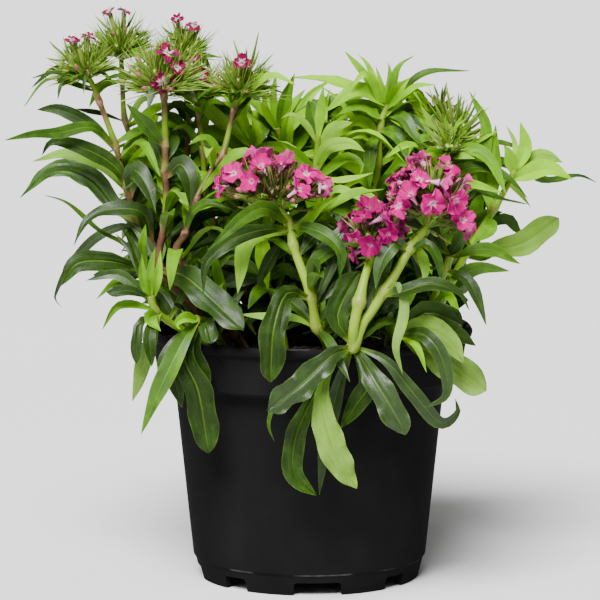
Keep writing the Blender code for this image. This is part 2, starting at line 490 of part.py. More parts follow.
# Each head: the stem that carries it, at its side branch or its end; its green core, as a
# middle (x, h, y) and half sizes; its bracts, as their count, shortest, longest, radius and
# rise; the crowded heart of its petals and the dome that its florets lie on, like the core;
# its florets (x, h, diameter), and how many of them the far side repeats
HEADS = {
    "far_left": {
        "stem": "stem_far_left", "core": ((-137, 303, -30), (6.5, 6, 6)),
        "bracts": (11, 6, 12, 0.9, 0.5), "tone": "crimson",
        "heart": ((-132, 311.8, -34), (5.5, 4.5, 2.3)),
        "dome": ((-137, 303, -30), (13, 11, 12)),
        "florets": ((-136.5, 312, 9.5), (-127, 314.5, 9.5)), "hidden": 0,
    },
    "second_left": {
        "stem": "stem_second_left", "core": ((-109, 317, -9), (7, 6.5, 6)),
        "bracts": (10, 7, 13, 0.9, 0.6), "tone": "crimson",
        "heart": ((-110.5, 326, -10), (6, 4, 2.4)),
        "dome": ((-109, 317, -9), (13, 11, 13)),
        "florets": ((-115.5, 328.5, 9), (-106.5, 329.5, 9)), "hidden": 0,
    },
    "third_left": {
        "stem": "stem_third_left", "core": ((-87, 297, -36), (7.5, 7, 6.5)),
        "bracts": (12, 7, 13, 0.9, 0.5), "tone": "crimson",
        "heart": ((-79.5, 297, -46.5), (7, 2.6, 9)),
        "dome": ((-87, 297, -36), (14, 19, 13)),
        "florets": ((-82, 305, 12), (-84.5, 288, 14), (-77, 296.5, 9)), "hidden": 0,
    },
    "fourth_left": {
        "stem": "stem_fourth_left", "core": ((-74, 315, 2), (6, 5.5, 5)),
        "bracts": (9, 6, 10, 0.9, 0.5), "tone": "crimson",
        "heart": ((-71.5, 322.6, 1), (5, 4, 2.2)),
        "dome": ((-74, 315, 2), (11, 10, 10)),
        "florets": ((-76, 323.5, 9), (-66.5, 321, 9)), "hidden": 0,
    },
    "fifth_left": {
        "stem": "stem_fifth_left", "core": ((-66, 294, -11), (5, 4.5, 5)),
        "bracts": (8, 6, 9, 0.9, 0.4), "tone": "crimson",
        "heart": ((-65, 297, -17.9), (4, 3.2, 7)),
        "dome": ((-65, 293.5, -13), (10, 10, 10)),
        "florets": ((-66.5, 301, 9), (-62.5, 292, 10.5)), "hidden": 0,
    },
    "sixth_left": {
        "stem": "stem_sixth_left", "core": ((-36, 294, -34), (8, 7, 6)),
        "bracts": (13, 8, 19, 0.9, 0.45), "tone": "crimson",
        "heart": ((-38, 297, -43.8), (3, 2.4, 3)),
        "dome": ((-36, 294, -34), (14, 12, 12)),
        "florets": ((-39, 299, 11),), "hidden": 0,
    },
    "dark": {
        "stem": "stem_dark_head", "core": ((76, 277, 31), (3.6, 3.6, 5)),
        "bracts": (9, 5, 8, 0.9, 0.6),
    },
    "green": {
        "stem": "stem_green_head", "core": ((84, 261, 0), (9, 8, 8)),
        "bracts": (32, 9, 17, 1.0, 0.75),
    },
    "middle": {
        "stem": "stem_middle_bloom", "core": ((-20, 217, -78), (15, 11, 6)),
        "bracts": (16, 6, 12, 1.1, 0.4), "tone": "pink",
        "heart": ((-23, 231, -80), (27, 19, 7)),
        "dome": ((-22, 226, -78), (33, 24, 15)),
        "florets": ((-53, 227, 15), (-44, 235, 16), (-33, 231, 15), (-28, 238.5, 16),
                    (-17, 239.5, 16), (-2, 235, 16), (6, 230, 14), (-7, 226, 18)),
        "hidden": 2,
    },
    "right": {
        "stem": "stem_right_bloom", "core": ((67, 203.6, -86), (12, 11, 6)),
        "bracts": (14, 6, 12, 1.1, 0.1), "tone": "pink",
        "heart": ((68, 224.5, -88), (19, 17, 13.5)),
        "dome": ((69, 218, -86), (25, 23, 25)),
        "florets": ((57.5, 240, 16.5), (50.5, 230, 15), (63, 231, 15), (75, 230, 17),
                    (51.5, 216.5, 16), (59, 222, 15), (70.5, 218, 17), (83.5, 220, 17),
                    (88, 208, 15), (93, 201.5, 13)),
        "hidden": 2,
    },
    "low_right": {
        "stem": "stem_right_bloom", "on_branch": True, "core": ((35.5, 187, -92), (5, 5, 5)),
        "bracts": (10, 5, 9, 1.0, 0.0), "tone": "magenta",
        "heart": ((36, 201.5, -92), (10, 10, 7.5)),
        "dome": ((36, 200, -92), (15, 15, 14)),
        "florets": ((30.5, 210, 14), (41, 209, 14), (25.5, 197, 14), (35, 194, 14),
                    (45, 200, 14), (26.5, 189, 12)),
        "hidden": 1,
    },
    "back_pink": {
        "stem": "back_stem_pink", "core": ((22, 197.6, 95), (11, 11, 6)),
        "bracts": (10, 6, 12, 1.1, 0.2), "tone": "pink",
        "heart": ((22, 212, 96), (17, 17, 8)),
        "dome": ((22, 210, 96), (23, 22, 18)),
        "florets": ((10, 219, 16), (33, 220, 16), (23, 212, 16)), "hidden": 2,
    },
    "back_crimson": {
        "stem": "back_stem_crimson", "core": ((-38, 240, 101), (7, 7, 6)),
        "bracts": (11, 6, 12, 0.9, 0.5), "tone": "crimson",
        "heart": ((-38, 248.6, 100), (6, 4, 2.2)),
        "dome": ((-38, 240, 101), (13, 13, 12)),
        "florets": ((-43, 249, 10), (-32.5, 249, 10)), "hidden": 0,
    },
}

# A floret's rim, petal by petal: the turn in degrees, the share of its radius and the lift
WIDE_PETAL = ((-22, 0.98, 0.04), (22, 0.98, -0.04), (36, 0.55, 0.0))
SMALL_PETAL = ((0, 1.0, 0.0), (36, 0.62, 0.0))
SMALL_FLORET = 13.0
FLORET_DEPTH = 1.2
HEART_BITE = 1.5

# Between these outlines of the front view, as height, left and right, and within these
# reaches lie the leaves that follow a rule
MASS = ((138, -78, 80), (160, -86, 84), (190, -90, 90), (215, -86, 106), (240, -84, 98),
        (262, -66, 62), (268, -30, 46))
REACH_ACROSS = 166.0
REACH_DEPTH = 134.0

# The shifts, turns and shortenings that a leaf tries, in turn, to keep clear of the others
DEPTH_SHIFTS = (0, -5, 5, -10, 10, -16, 16, -23, 23, -32, 32, -42, 42)
HEIGHT_SHIFTS = (0, 2.5, -2.5, 5.5, -5.5)
TURNS = (0, 14, -14, 30, -30, 50, -50, 75, -75)
SHARES = (1.0, 0.82, 0.66)
LEAF_CLEARANCE = 0.45

# How far below its joint each leaf of a joint starts, and how far under a head its stem may end
LEAF_STEPS = (1.4, 3.8, 6.0, 2.6, 4.9)
SEAT_STEPS = (0.3, 0.7, 1.2, 1.8, 2.6, 3.6, 5.0)

COLOURS = {
    "pot": ((0.012, 0.012, 0.013), 0.55),
    "soil": ((0.028, 0.016, 0.010), 0.95),
    "leaf": ((0.075, 0.20, 0.035), 0.45),
    "head": ((0.10, 0.19, 0.04), 0.55),
    "pink": ((0.80, 0.03, 0.25), 0.5),
    "crimson": ((0.55, 0.0, 0.10), 0.5),
    "magenta": ((0.62, 0.01, 0.22), 0.5),
}


def place(x, h, y):
    """Where a point that the front view shows at x, h lies when its depth is y."""
    scale = 1.0 + y / VIEW_DISTANCE
    drop = y * math.tan(VIEW_ELEVATION)
    return Vector((x * scale, y, VIEW_HEIGHT + (h - VIEW_HEIGHT) * scale - drop))


def seen_from_front(point):
    """Where the front view shows a real point, as x and h."""
    scale = 1.0 + point.y / VIEW_DISTANCE
    drop = point.y * math.tan(VIEW_ELEVATION)
    return point.x / scale, VIEW_HEIGHT + (point.z - VIEW_HEIGHT + drop) / scale


def path_length(points):
    return sum((b - a).length for a, b in zip(points, points[1:]))


def smooth_path(points, count):
    """Even points along the smooth curve through the given points."""
    ends = [points[0] * 2 - points[1]] + list(points) + [points[-1] * 2 - points[-2]]
    fine = []
    for i in range(1, len(ends) - 2):
        a, b, c, d = ends[i - 1:i + 3]
        for j in range(12):
            t = j / 12
            fine.append(0.5 * (2 * b + (c - a) * t + (2 * a - 5 * b + 4 * c - d) * t * t
                               + (3 * b - a - 3 * c + d) * t ** 3))
    fine.append(points[-1])
    run = [0.0]
    for a, b in zip(fine, fine[1:]):
        run.append(run[-1] + (b - a).length)
    even = []
    k = 0
    for i in range(count):
        want = run[-1] * i / (count - 1)
        while k < len(run) - 2 and run[k + 1] < want:
            k += 1
        share = (want - run[k]) / max(run[k + 1] - run[k], 1e-6)
        even.append(fine[k].lerp(fine[k + 1], min(share, 1.0)))
    return even


def blade_width(t, kind):
    """The blade's share of its full width at t, from its foot at 0 to its tip at 1."""
    widest, blunt, foot = BLADE_KINDS[kind][:3]
    if t < widest:
        return foot + (1 - foot) * math.sin(t / widest * math.pi / 2) ** 1.2
    return 1 - ((t - widest) / (1 - widest)) ** blunt


def blade_frames(points, facing):
    """The directions across the blade and out of its face at each point of its midrib."""
    face = (UP * (1 - facing) + TO_VIEWER * facing).normalized()
    frames = []
    across = None
    for i, point in enumerate(points):
        along = (points[min(i + 1, len(points) - 1)] - points[max(i - 1, 0)]).normalized()
        side = along.cross(face)
        if side.length < 0.2:
            side = across or along.cross(Vector((0.0, 1.0, 0.1)))
        side.normalize()
        if across and side.dot(across) < 0:
            side = -side
        across = side
        frames.append((across, across.cross(along).normalized()))
    return frames


def blade_solid(leaf, grow=0.0):
    """A blade whose rings are left edge, rib, right edge and keel; a narrow one has no rib."""
    path, width, facing, kind = leaf
    blunt, foot, fold, thickness = BLADE_KINDS[kind][1:]
    length = path_length(path)
    spans = 2 if length < 30 else 3 if length < 70 else 4 if length < 120 else 5
    crowd = 1.5 if blunt > 2.5 else 1.1
    channelled = width >= CHANNELLED_WIDTH
    corners = 4 if channelled else 3
    points = smooth_path(path, MIDRIB_STEPS + 1)
    frames = blade_frames(points, facing)
    verts = []
    for i in range(spans):
        t = 1 - (1 - i / spans) ** crowd
        k = round(t * MIDRIB_STEPS)
        across, out = frames[k]
        half = blade_width(t, kind) * width / 2 + grow
        rise = out * fold * half * 2 if channelled else Vector()
        deep = thickness / 2 + grow
        verts.append(points[k] - across * half + rise)
        if channelled:
            verts.append(points[k] + out * deep)
        verts.append(points[k] + across * half + rise)
        verts.append(points[k] - out * deep * (1 if channelled else 2))
    verts.append(points[-1])
    faces = [tuple(reversed(range(corners)))]
    for i in range(spans - 1):
        a = corners * i
        b = a + corners
        for j in range(corners):
            n = (j + 1) % corners
            if j in (0, corners - 1):
                faces += [(a + j, b + n, b + j), (a + j, a + n, b + n)]
            else:
                faces += [(a + j, a + n, b + j), (a + n, b + n, b + j)]
    last = corners * (spans - 1)
    faces += [(last + j, last + (j + 1) % corners, len(verts) - 1) for j in range(corners)]
    return verts, faces


def tube_solid(points, radii, sides):
    """A tube with flat ends along the given points."""
    verts = []
    side = Vector((1.0, 0.0, 0.0))
    for i, point in enumerate(points):
        along = (points[min(i + 1, len(points) - 1)] - points[max(i - 1, 0)]).normalized()
        side = (side - along * side.dot(along)).normalized()
        other = along.cross(side)
        for j in range(sides):
            turn = 2 * math.pi * j / sides
            verts.append(point + (side * math.cos(turn) + other * math.sin(turn)) * radii[i])
    faces = [tuple(reversed(range(sides)))]
    for i in range(len(points) - 1):
        for j in range(sides):
            n = (j + 1) % sides
            a, b = i * sides, (i + 1) * sides
            faces.append((a + j, a + n, b + n, b + j))
    faces.append(tuple(range(len(verts) - sides, len(verts))))
    return verts, faces


def needle_solid(root, direction, length, radius, grow=0.0):
    """A three-sided pointed bract, bent a little upwards."""
    side = direction.cross(UP if abs(direction.z) < 0.9 else Vector((1.0, 0.0, 0.0)))
    side.normalize()
    other = direction.cross(side)
    tip = root + direction * length + UP * length * 0.12
    verts = []
    for j in range(3):
        turn = 2 * math.pi * j / 3
        verts.append(root + (side * math.cos(turn) + other * math.sin(turn)) * (radius + grow))
    verts.append(tip + direction * grow)
    return verts, [(2, 1, 0), (0, 1, 3), (1, 2, 3), (2, 0, 3)]


def core_solid(middle, half):
    """The rounded core of a head or of its petals."""
    mesh = bmesh.new()
    bmesh.ops.create_icosphere(mesh, subdivisions=1, radius=1.0)
    verts = [middle + Vector([v.co[k] * half[k] for k in range(3)]) for v in mesh.verts]
    faces = [tuple(v.index for v in face.verts) for face in mesh.faces]
    mesh.free()
    return verts, faces


def floret_solid(centre, out, back, diameter, turn):
    """Five joined petals as one thin cupped disc with a pointed back."""
    side = out.cross(Vector((0.3, 0.2, 1.0))).normalized()
    other = out.cross(side)
    radius = diameter / 2
    rim = WIDE_PETAL if diameter > SMALL_FLORET else SMALL_PETAL
    verts = []
    for petal in range(5):
        for degrees, share, lift in rim:
            angle = turn + math.radians(72 * petal + degrees)
            spot = side * math.cos(angle) + other * math.sin(angle)
            verts.append(centre + spot * radius * share + out * radius * lift)
    verts += [centre + out * 0.35, back]
    top, bottom = len(verts) - 2, len(verts) - 1
    faces = []
    for j in range(top):
        n = (j + 1) % top
        faces += [(j, n, top), (n, j, bottom)]
    return verts, faces


class Thicket:
    """Every solid placed so far, by the node that it belongs to."""

    def __init__(self):
        self.solids = []

    def add(self, owner, solid):
        self.solids.append((owner, BVHTree.FromPolygons(*solid), *self.box(solid)))

    def box(self, solid):
        low = [min(v[i] for v in solid[0]) for i in range(3)]
        high = [max(v[i] for v in solid[0]) for i in range(3)]
        return low, high

    def is_clear(self, owner, solid):
        """Whether a solid crosses nothing but its own node."""
        low, high = self.box(solid)
        tree = None
        for other, other_tree, other_low, other_high in self.solids:
            if other == owner:
                continue
            if any(low[i] > other_high[i] or high[i] < other_low[i] for i in range(3)):
                continue
            tree = tree or BVHTree.FromPolygons(*solid)
            if tree.overlap(other_tree):
                return False
        return True


def hit_from(point, target, solid):
    """Where the line from a point towards a target first meets a solid, and its direction."""
    way = (target - point).normalized()
    return BVHTree.FromPolygons(*solid).ray_cast(point, way)[0], way


def dome_place(head, x, h, far):
    """The place and the outward direction of a floret on a head's dome."""
    middle, (wide, deep, tall) = head["dome"]
    u = (x - middle[0]) / wide
    v = (h - middle[1]) / tall
    inside = math.sqrt(max(0.0, 1 - u * u - v * v)) * (1 if far else -1)
    out = Vector((u / wide, inside / deep, v / tall + 0.25 / wide))
    return place(x, h, middle[2] + deep * inside), out.normalized()


def head_florets(head, chance):
    """A head's petals: the discs of its florets, whose pointed backs are sunk in its heart."""
    axis = head["dome"][0][0]
    spots = [(x, h, size, False) for x, h, size in head["florets"]]
    spots += [(2 * axis - x, h, size, True) for x, h, size in head["florets"][:head["hidden"]]]
    middle = place(*head["heart"][0])
    heart = core_solid(middle, head["heart"][1])
    solids = [heart]
    for x, h, size, far in spots:
        spot, out = dome_place(head, x, h, far)
        touch, way = hit_from(spot + out * 20, middle, heart)
        back = touch + way * HEART_BITE
        if (back - spot).dot(out) > -FLORET_DEPTH:
            back = spot - out * FLORET_DEPTH
        solids.append(floret_solid(spot, out, back, size, chance.uniform(0, 1.2)))
    return solids


def head_bracts(owner, head, thicket, chance):
    """Pointed bracts and buds round a head's core, clear of its florets."""
    count, shortest, longest, radius, rise = head["bracts"]
    middle, half = place(*head["core"][0]), head["core"][1]
    solids = []
    for i in range(count):
        lift = 1 - 1.75 * (i + 0.5) / count
        turn = i * GOLDEN_TURN + chance.uniform(-0.15, 0.15)
        flat = math.sqrt(max(0.0, 1 - lift * lift))
        spot = Vector((flat * math.cos(turn), flat * math.sin(turn), lift))
        root = middle + Vector([spot[k] * half[k] * 0.8 for k in range(3)])
        way = (spot + UP * rise).normalized()
        length = chance.uniform(shortest, longest) + max(half) * 0.2
        for share in BRACT_SHARES:
            wide = needle_solid(root, way, length * share, radius, GAP)
            if thicket.is_clear(owner, wide):
                solids.append(needle_solid(root, way, length * share, radius))
                break
    return solids


def stem_path(stem):
    """A stem's real path, from its foot in the soil."""
    x, y = stem["soil"]
    foot = [Vector((x, y, SOIL_HEIGHT - STEM_DEPTH)), Vector((x, y, SOIL_HEIGHT + 2.5))]
    return foot + [place(*spot) for spot in stem["places"]]


def branch_path(stem):
    """The side branch of a forked stem, from the joint that it leaves."""
    at, spots = stem["branch"]
    return [place(*spot) for spot in (stem["places"][at],) + spots]


def stem_end(path, head):
    """The point where a stem stops, close under the core of its head."""
    middle = place(*head["core"][0])
    core = core_solid(middle, head["core"][1])
    seat, way = hit_from(path[-1], middle, core)
    tree = BVHTree.FromPolygons(*core)
    for step in SEAT_STEPS:
        end = seat - way * step
        tube = tube_solid(path[-2:] + [end], (3.2, 2.6, 2.2), 6)
        if not BVHTree.FromPolygons(*tube).overlap(tree):
            break
    return end


def stem_solids(name, stem):
    """A stem with swollen joints, and its side branch if it is forked."""
    path = stem_path(stem)
    branch = branch_path(stem) if "branch" in stem else []
    for head in HEADS.values():
        if head["stem"] == name:
            part = branch if "on_branch" in head else path
            part.append(stem_end(part, head))
    radii = []
    for i in range(len(path)):
        swell = JOINT_SWELL if i - 2 in stem["joints"] else 1.0
        radii.append(stem["radius"] * swell * (1 - STEM_TAPER * i / len(path)))
    solids = [tube_solid(path, radii, 6 if stem["radius"] > 2.5 else 5)]
    if branch:
        solids.append(tube_solid(branch, BRANCH_RADII, 6))
    return solids


def in_mass(point):
    """Whether a point lies where a leaf that follows a rule may reach."""
    x, h = seen_from_front(point)
    if abs(point.x) > REACH_ACROSS or abs(point.y) > REACH_DEPTH:
        return False
    if h < MASS[0][0]:
        return abs(x) < -MASS[0][1] and point.y > 0
    for (low, left_a, right_a), (high, left_b, right_b) in zip(MASS, MASS[1:]):
        if low <= h <= high:
            t = (h - low) / (high - low)
            return left_a + (left_b - left_a) * t < x < right_a + (right_b - right_a) * t
    return False


def seen_leaf_paths(root, spots):
    """The paths that a leaf of the front view may take, nearly alike from the front."""
    for lower in HEIGHT_SHIFTS:
        for shift in DEPTH_SHIFTS:
            path = [root]
            for i, (x, h, y) in enumerate(spots):
                share = (i + 1) / len(spots)
                path.append(place(x, h + lower * share, y + shift * (0.5 + 0.5 * share)))
            yield path


def ruled_leaf_paths(root, turn, rise, length, droop):
    """The paths that a leaf may take as it arches out from its joint."""
    for share in SHARES:
        for change in TURNS:
            angle = turn + math.radians(change)
            out = Vector((math.cos(angle), math.sin(angle), 0.0))
            reach = length * share
            middle = root + out * reach * 0.5 + UP * reach * rise * 0.5
            tip = root + out * reach * 0.92 + UP * reach * (rise * 0.7 - droop)
            if in_mass(tip) and in_mass(middle):
                yield [root, middle, tip]


def leaf_root(stem, at, order):
    """Where a joint's leaf leaves the stem; each one of a joint starts a little apart."""
    before, root = stem_path(stem)[at + 1:at + 3]
    return root + (before - root).normalized() * LEAF_STEPS[order % len(LEAF_STEPS)]


def first_clear(paths, owner, width, facing, kind, thicket):
    """The first leaf that keeps clear of every other node, or None."""
    sunk = ALL_STEMS[owner]["radius"] * 0.35
    for path in paths:
        path[0] = path[0] + (path[1] - path[0]).normalized() * sunk
        leaf = (path, width, facing, kind)
        if thicket.is_clear(owner, blade_solid(leaf, LEAF_CLEARANCE)):
            thicket.add(owner, blade_solid(leaf))
            return leaf
    return None


def seen_leaves(thicket):
    """The leaves that the front view shows, as their stem and the leaf."""
    leaves = []
    for name, stem in STEMS.items():
        taken = []
        for at, spots, width, facing, kind in stem["leaves"]:
            paths = seen_leaf_paths(leaf_root(stem, at, taken.count(at)), spots)
            taken.append(at)
            leaves.append((name, first_clear(paths, name, width, facing, kind, thicket)))
    return leaves


def ruled_leaves(thicket, chance):
    """Opposite pairs of leaves at the joints that the front view hides."""
    leaves = []
    for name, stem in ALL_STEMS.items():
        taken = [leaf[0] for leaf in stem["leaves"]]
        for at in stem["joints"]:
            start = chance.uniform(0, math.pi)
            if at in taken:
                continue
            for side in range(2):
                length = chance.uniform(*(FAR_LENGTHS if name in BACK_STEMS else NEAR_LENGTHS))
                width = chance.uniform(8, 12)
                rise = chance.uniform(0.3, 0.8)
                droop = chance.uniform(0.1, 0.7)
                kind = chance.choice(("old", "mid", "mid", "dark"))
                root = leaf_root(stem, at, side)
                paths = ruled_leaf_paths(root, start + side * math.pi, rise, length, droop)
                leaves.append((name, first_clear(paths, name, width, 0.12, kind, thicket)))
    return leaves


def grow_plant():
    """Every node's solids: heads and petals, stems and their leaves."""
    chance = random.Random(47)
    thicket = Thicket()
    nodes = {}
    thicket.add("pot", pot_shell())
    thicket.add("soil", soil_body())
    for name, head in HEADS.items():
        nodes["head_" + name] = [core_solid(place(*head["core"][0]), head["core"][1])]
        if "florets" in head:
            nodes["petals_" + name] = head_florets(head, chance)
    for name, stem in ALL_STEMS.items():
        nodes[name] = stem_solids(name, stem)
    for name, solids in nodes.items():
        for solid in solids:
            thicket.add(name, solid)
    for name, head in HEADS.items():
        bracts = head_bracts("head_" + name, head, thicket, chance)
        nodes["head_" + name] += bracts
        for solid in bracts:
            thicket.add("head_" + name, solid)
    for name, leaf in seen_leaves(thicket) + ruled_leaves(thicket, chance):
        if leaf:
            nodes[name].append(blade_solid(leaf))
    return nodes


def turned_solid(profile):
    """A solid of revolution whose profile starts and ends on the axis."""
    verts = [Vector((0.0, 0.0, profile[0][1]))]
    for r, z in profile[1:-1]:
        for j in range(POT_SIDES):
            turn = 2 * math.pi * j / POT_SIDES
            verts.append(Vector((r * math.cos(turn), r * math.sin(turn), z)))
    verts.append(Vector((0.0, 0.0, profile[-1][1])))
    faces = []
    rings = len(profile) - 2
    for j in range(POT_SIDES):
        n = (j + 1) % POT_SIDES
        faces.append((0, 1 + n, 1 + j))
        for i in range(rings - 1):
            a = 1 + i * POT_SIDES
            b = a + POT_SIDES
            faces.append((a + j, a + n, b + n, b + j))
        last = 1 + (rings - 1) * POT_SIDES
        faces.append((last + j, last + n, len(verts) - 1))
    return verts, faces


def inner_wall(clear):
    """The pot's inner wall from its floor up, moved in by a clearance."""
    inset = POT_WALL + clear
    return [(SHOULDER[0] - inset - 0.4, BASE_UNDERSIDE + BASE_THICKNESS + clear),
            (SHOULDER[0] - inset, SHOULDER[1] + 1.5),
            (STEP[0] - inset, STEP[1] + 1.0 + clear),
            (BAND_FOOT[0] - inset - 0.4, BAND_FOOT[1] + POT_WALL + clear),
            (BAND_TOP[0] - inset, BAND_TOP[1])]


def pot_shell():
    """The thin wall of the pot with its foot ring, raised base, stepped band and rolled lip."""
    inner = inner_wall(0.0)
    outer = [(0.0, BASE_UNDERSIDE), (FOOT_RADIUS - FOOT_WALL, BASE_UNDERSIDE),
             (FOOT_RADIUS - FOOT_WALL, 0.0), (FOOT_RADIUS, 0.0), (66.6, 11.4), SHOULDER, STEP,
             BAND_FOOT, BAND_TOP, (94.2, 141.6), (LIP_RADIUS, 144.4), (93.4, POT_HEIGHT),
             (90.4, 146.2)]
    floor = [(0.0, BASE_UNDERSIDE + BASE_THICKNESS)]
    return turned_solid(outer + inner[::-1] + floor)


def soil_body():
    """The peat that fills the pot, with an uneven top."""
    wall = inner_wall(GAP)[:-1]
    share = (SOIL_HEIGHT - wall[-1][1]) / (BAND_TOP[1] - wall[-1][1])
    rim = wall[-1][0] + (BAND_TOP[0] - POT_WALL - GAP - wall[-1][0]) * share
    top = [(rim, SOIL_HEIGHT - 1.0), (66.0, SOIL_HEIGHT), (34.0, SOIL_HEIGHT)]
    profile = [(0.0, wall[0][1])] + wall + top + [(0.0, SOIL_HEIGHT)]
    verts, faces = turned_solid(profile)
    chance = random.Random(5)
    for vert in verts:
        if vert.z > SOIL_HEIGHT - 0.5 and math.hypot(vert.x, vert.y) < 80:
            vert.z += chance.uniform(-SOIL_BUMP, SOIL_BUMP)
    return verts, faces


def slot_cutters():
    """The drainage slots of the foot ring, wide and narrow in turn."""
    cutters = []
    for i in range(SLOT_COUNT):
        turn = SLOT_TURN + 2 * math.pi * i / SLOT_COUNT
        out = Vector((math.cos(turn), math.sin(turn), 0.0))
        side = Vector((-out.y, out.x, 0.0))
        half = (WIDE_SLOT if i % 2 == 0 else NARROW_SLOT) / 2
        arch = ((-half, -1.0), (half, -1.0), (half * 0.96, SLOT_HEIGHT - 1.4),
                (half * 0.84, SLOT_HEIGHT), (-half * 0.84, SLOT_HEIGHT),
                (-half * 0.96, SLOT_HEIGHT - 1.4))
        near = [out * (FOOT_RADIUS - 9) + side * a + UP * z for a, z in arch]
        far = [out * (FOOT_RADIUS + 6) + side * a + UP * z for a, z in arch]
        count = len(arch)
        faces = [tuple(reversed(range(count))), tuple(range(count, 2 * count))]
        faces += [(j, (j + 1) % count, count + (j + 1) % count, count + j)
                  for j in range(count)]
        cutters.append((near + far, faces))
    return cutters


def drain_cutters():
    """Four round holes through the base."""
    cutters = []
    for i in range(4):
        turn = SLOT_TURN + math.pi / 4 + i * math.pi / 2
        spot = Vector((math.cos(turn), math.sin(turn), 0.0)) * DRAIN_HOLE_RING
        ends = [spot + UP * (BASE_UNDERSIDE - 2), spot + UP * (BASE_UNDERSIDE + 4)]
        cutters.append(tube_solid(ends, (DRAIN_HOLE_RADIUS, DRAIN_HOLE_RADIUS), 10))
    return cutters


def stem_holes():
    """The plain holes that the stems stand in."""
    cutters = []
    for stem in ALL_STEMS.values():
        x, y = stem["soil"]
        low = Vector((x, y, SOIL_HEIGHT - STEM_DEPTH - GAP))
        high = Vector((x, y, SOIL_HEIGHT + 6.0))
        radius = stem["radius"] + HOLE_CLEARANCE
        cutters.append(tube_solid([low, high], (radius, radius), HOLE_SIDES))
    return cutters


def paint(thing, colour):
    """A material of the piece's own."""
    shade, roughness = COLOURS[colour]
    material = bpy.data.materials.new(thing.name)
    material.use_nodes = True
    shader = material.node_tree.nodes["Principled BSDF"]
    shader.inputs["Base Color"].default_value = (*shade, 1.0)
    shader.inputs["Roughness"].default_value = roughness
    shader.inputs["Metallic"].default_value = 0.0
    thing.data.materials.append(material)


def new_object(name, solid, collection):
    """An object in metres from a solid in millimetres."""
    verts, faces = solid
    mesh = bpy.data.meshes.new(name)
    mesh.from_pydata([vert * MM for vert in verts], [], faces)
    thing = bpy.data.objects.new(name, mesh)
    collection.objects.link(thing)
    return thing


def drop_scraps(mesh):
    """Drop the tiny loose bodies that are left where three blades cross."""
    shape = bmesh.new()
    shape.from_mesh(mesh)
    left = set(shape.verts)
    bodies = []
    while left:
        body = {left.pop()}
        edge = set(body)
        while edge:
            edge = {e.other_vert(v) for v in edge for e in v.link_edges} - body
            body |= edge
        left -= body
        bodies.append(body)
    bodies.sort(key=len)
    scraps = [v for body in bodies[:-1] if len(body) <= SCRAP_CORNERS for v in body]
    bmesh.ops.delete(shape, geom=scraps, context="VERTS")
    shape.to_mesh(mesh)
    shape.free()


def joined_object(name, solids, colour, operation="UNION", solver="MANIFOLD"):
    """One object from the first solid and the others, joined to it or cut from it."""
    thing = new_object(name, solids[0], bpy.context.scene.collection)
    if len(solids) > 1:
        group = bpy.data.collections.new(name + "_pieces")
        bpy.context.scene.collection.children.link(group)
        for i, solid in enumerate(solids[1:]):
            new_object(f"{name}_piece_{i}", solid, group)
        join = thing.modifiers.new("join", "BOOLEAN")
        join.operation = operation
        join.operand_type = "COLLECTION"
        join.collection = group
        join.solver = solver
        view = bpy.context.evaluated_depsgraph_get()
        mesh = bpy.data.meshes.new_from_object(thing.evaluated_get(view))
        thing.modifiers.clear()
        thing.data = mesh
        for piece in list(group.objects):
            bpy.data.objects.remove(piece, do_unlink=True)
        bpy.data.collections.remove(group)
    drop_scraps(thing.data)
    thing.data.materials.clear()
    paint(thing, colour)
    thing.data.shade_smooth()
    thing.data.set_sharp_from_angle(angle=math.radians(40))
    return thing


def build():
    for thing in list(bpy.data.objects):
        bpy.data.objects.remove(thing, do_unlink=True)
    joined_object("pot", [pot_shell()] + slot_cutters() + drain_cutters(), "pot",
                  "DIFFERENCE", "EXACT")
    joined_object("soil", [soil_body()] + stem_holes(), "soil", "DIFFERENCE", "EXACT")
    for name, solids in grow_plant().items():
        if name.startswith("petals_"):
            colour = HEADS[name[7:]]["tone"]
        elif name.startswith("head_"):
            colour = "head"
        else:
            colour = "leaf"
        joined_object(name, solids, colour)


build()
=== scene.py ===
"""A potted sweet william in flower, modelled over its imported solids.

Places of stems, leaves and florets are given as the front view shows them, in millimetres:
x to the right and h up, on the plane through the pot's axis, and y as the depth behind it.
A leaf or bract stands where its plain solid stands in the frame, which the tip tells.
"""

import json
import math
import random

import bmesh
import bpy
import numpy as np
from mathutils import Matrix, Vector, noise
from mathutils.bvhtree import BVHTree
from mathutils.kdtree import KDTree

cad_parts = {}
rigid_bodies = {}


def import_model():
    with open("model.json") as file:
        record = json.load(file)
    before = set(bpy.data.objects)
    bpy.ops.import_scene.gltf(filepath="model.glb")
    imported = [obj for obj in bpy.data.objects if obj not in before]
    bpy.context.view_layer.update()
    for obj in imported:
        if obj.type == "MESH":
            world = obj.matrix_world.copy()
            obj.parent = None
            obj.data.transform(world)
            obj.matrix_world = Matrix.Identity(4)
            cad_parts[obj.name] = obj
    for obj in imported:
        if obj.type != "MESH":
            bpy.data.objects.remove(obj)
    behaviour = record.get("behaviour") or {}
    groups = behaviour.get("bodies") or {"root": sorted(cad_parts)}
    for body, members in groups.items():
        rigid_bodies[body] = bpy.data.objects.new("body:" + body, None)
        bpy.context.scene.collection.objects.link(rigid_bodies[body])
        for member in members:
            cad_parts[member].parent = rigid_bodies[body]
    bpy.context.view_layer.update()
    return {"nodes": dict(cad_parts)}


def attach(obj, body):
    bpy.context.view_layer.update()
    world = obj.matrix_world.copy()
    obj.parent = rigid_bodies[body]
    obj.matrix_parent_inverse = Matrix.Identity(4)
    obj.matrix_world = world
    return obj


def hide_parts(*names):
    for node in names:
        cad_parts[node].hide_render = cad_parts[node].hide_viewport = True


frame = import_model()

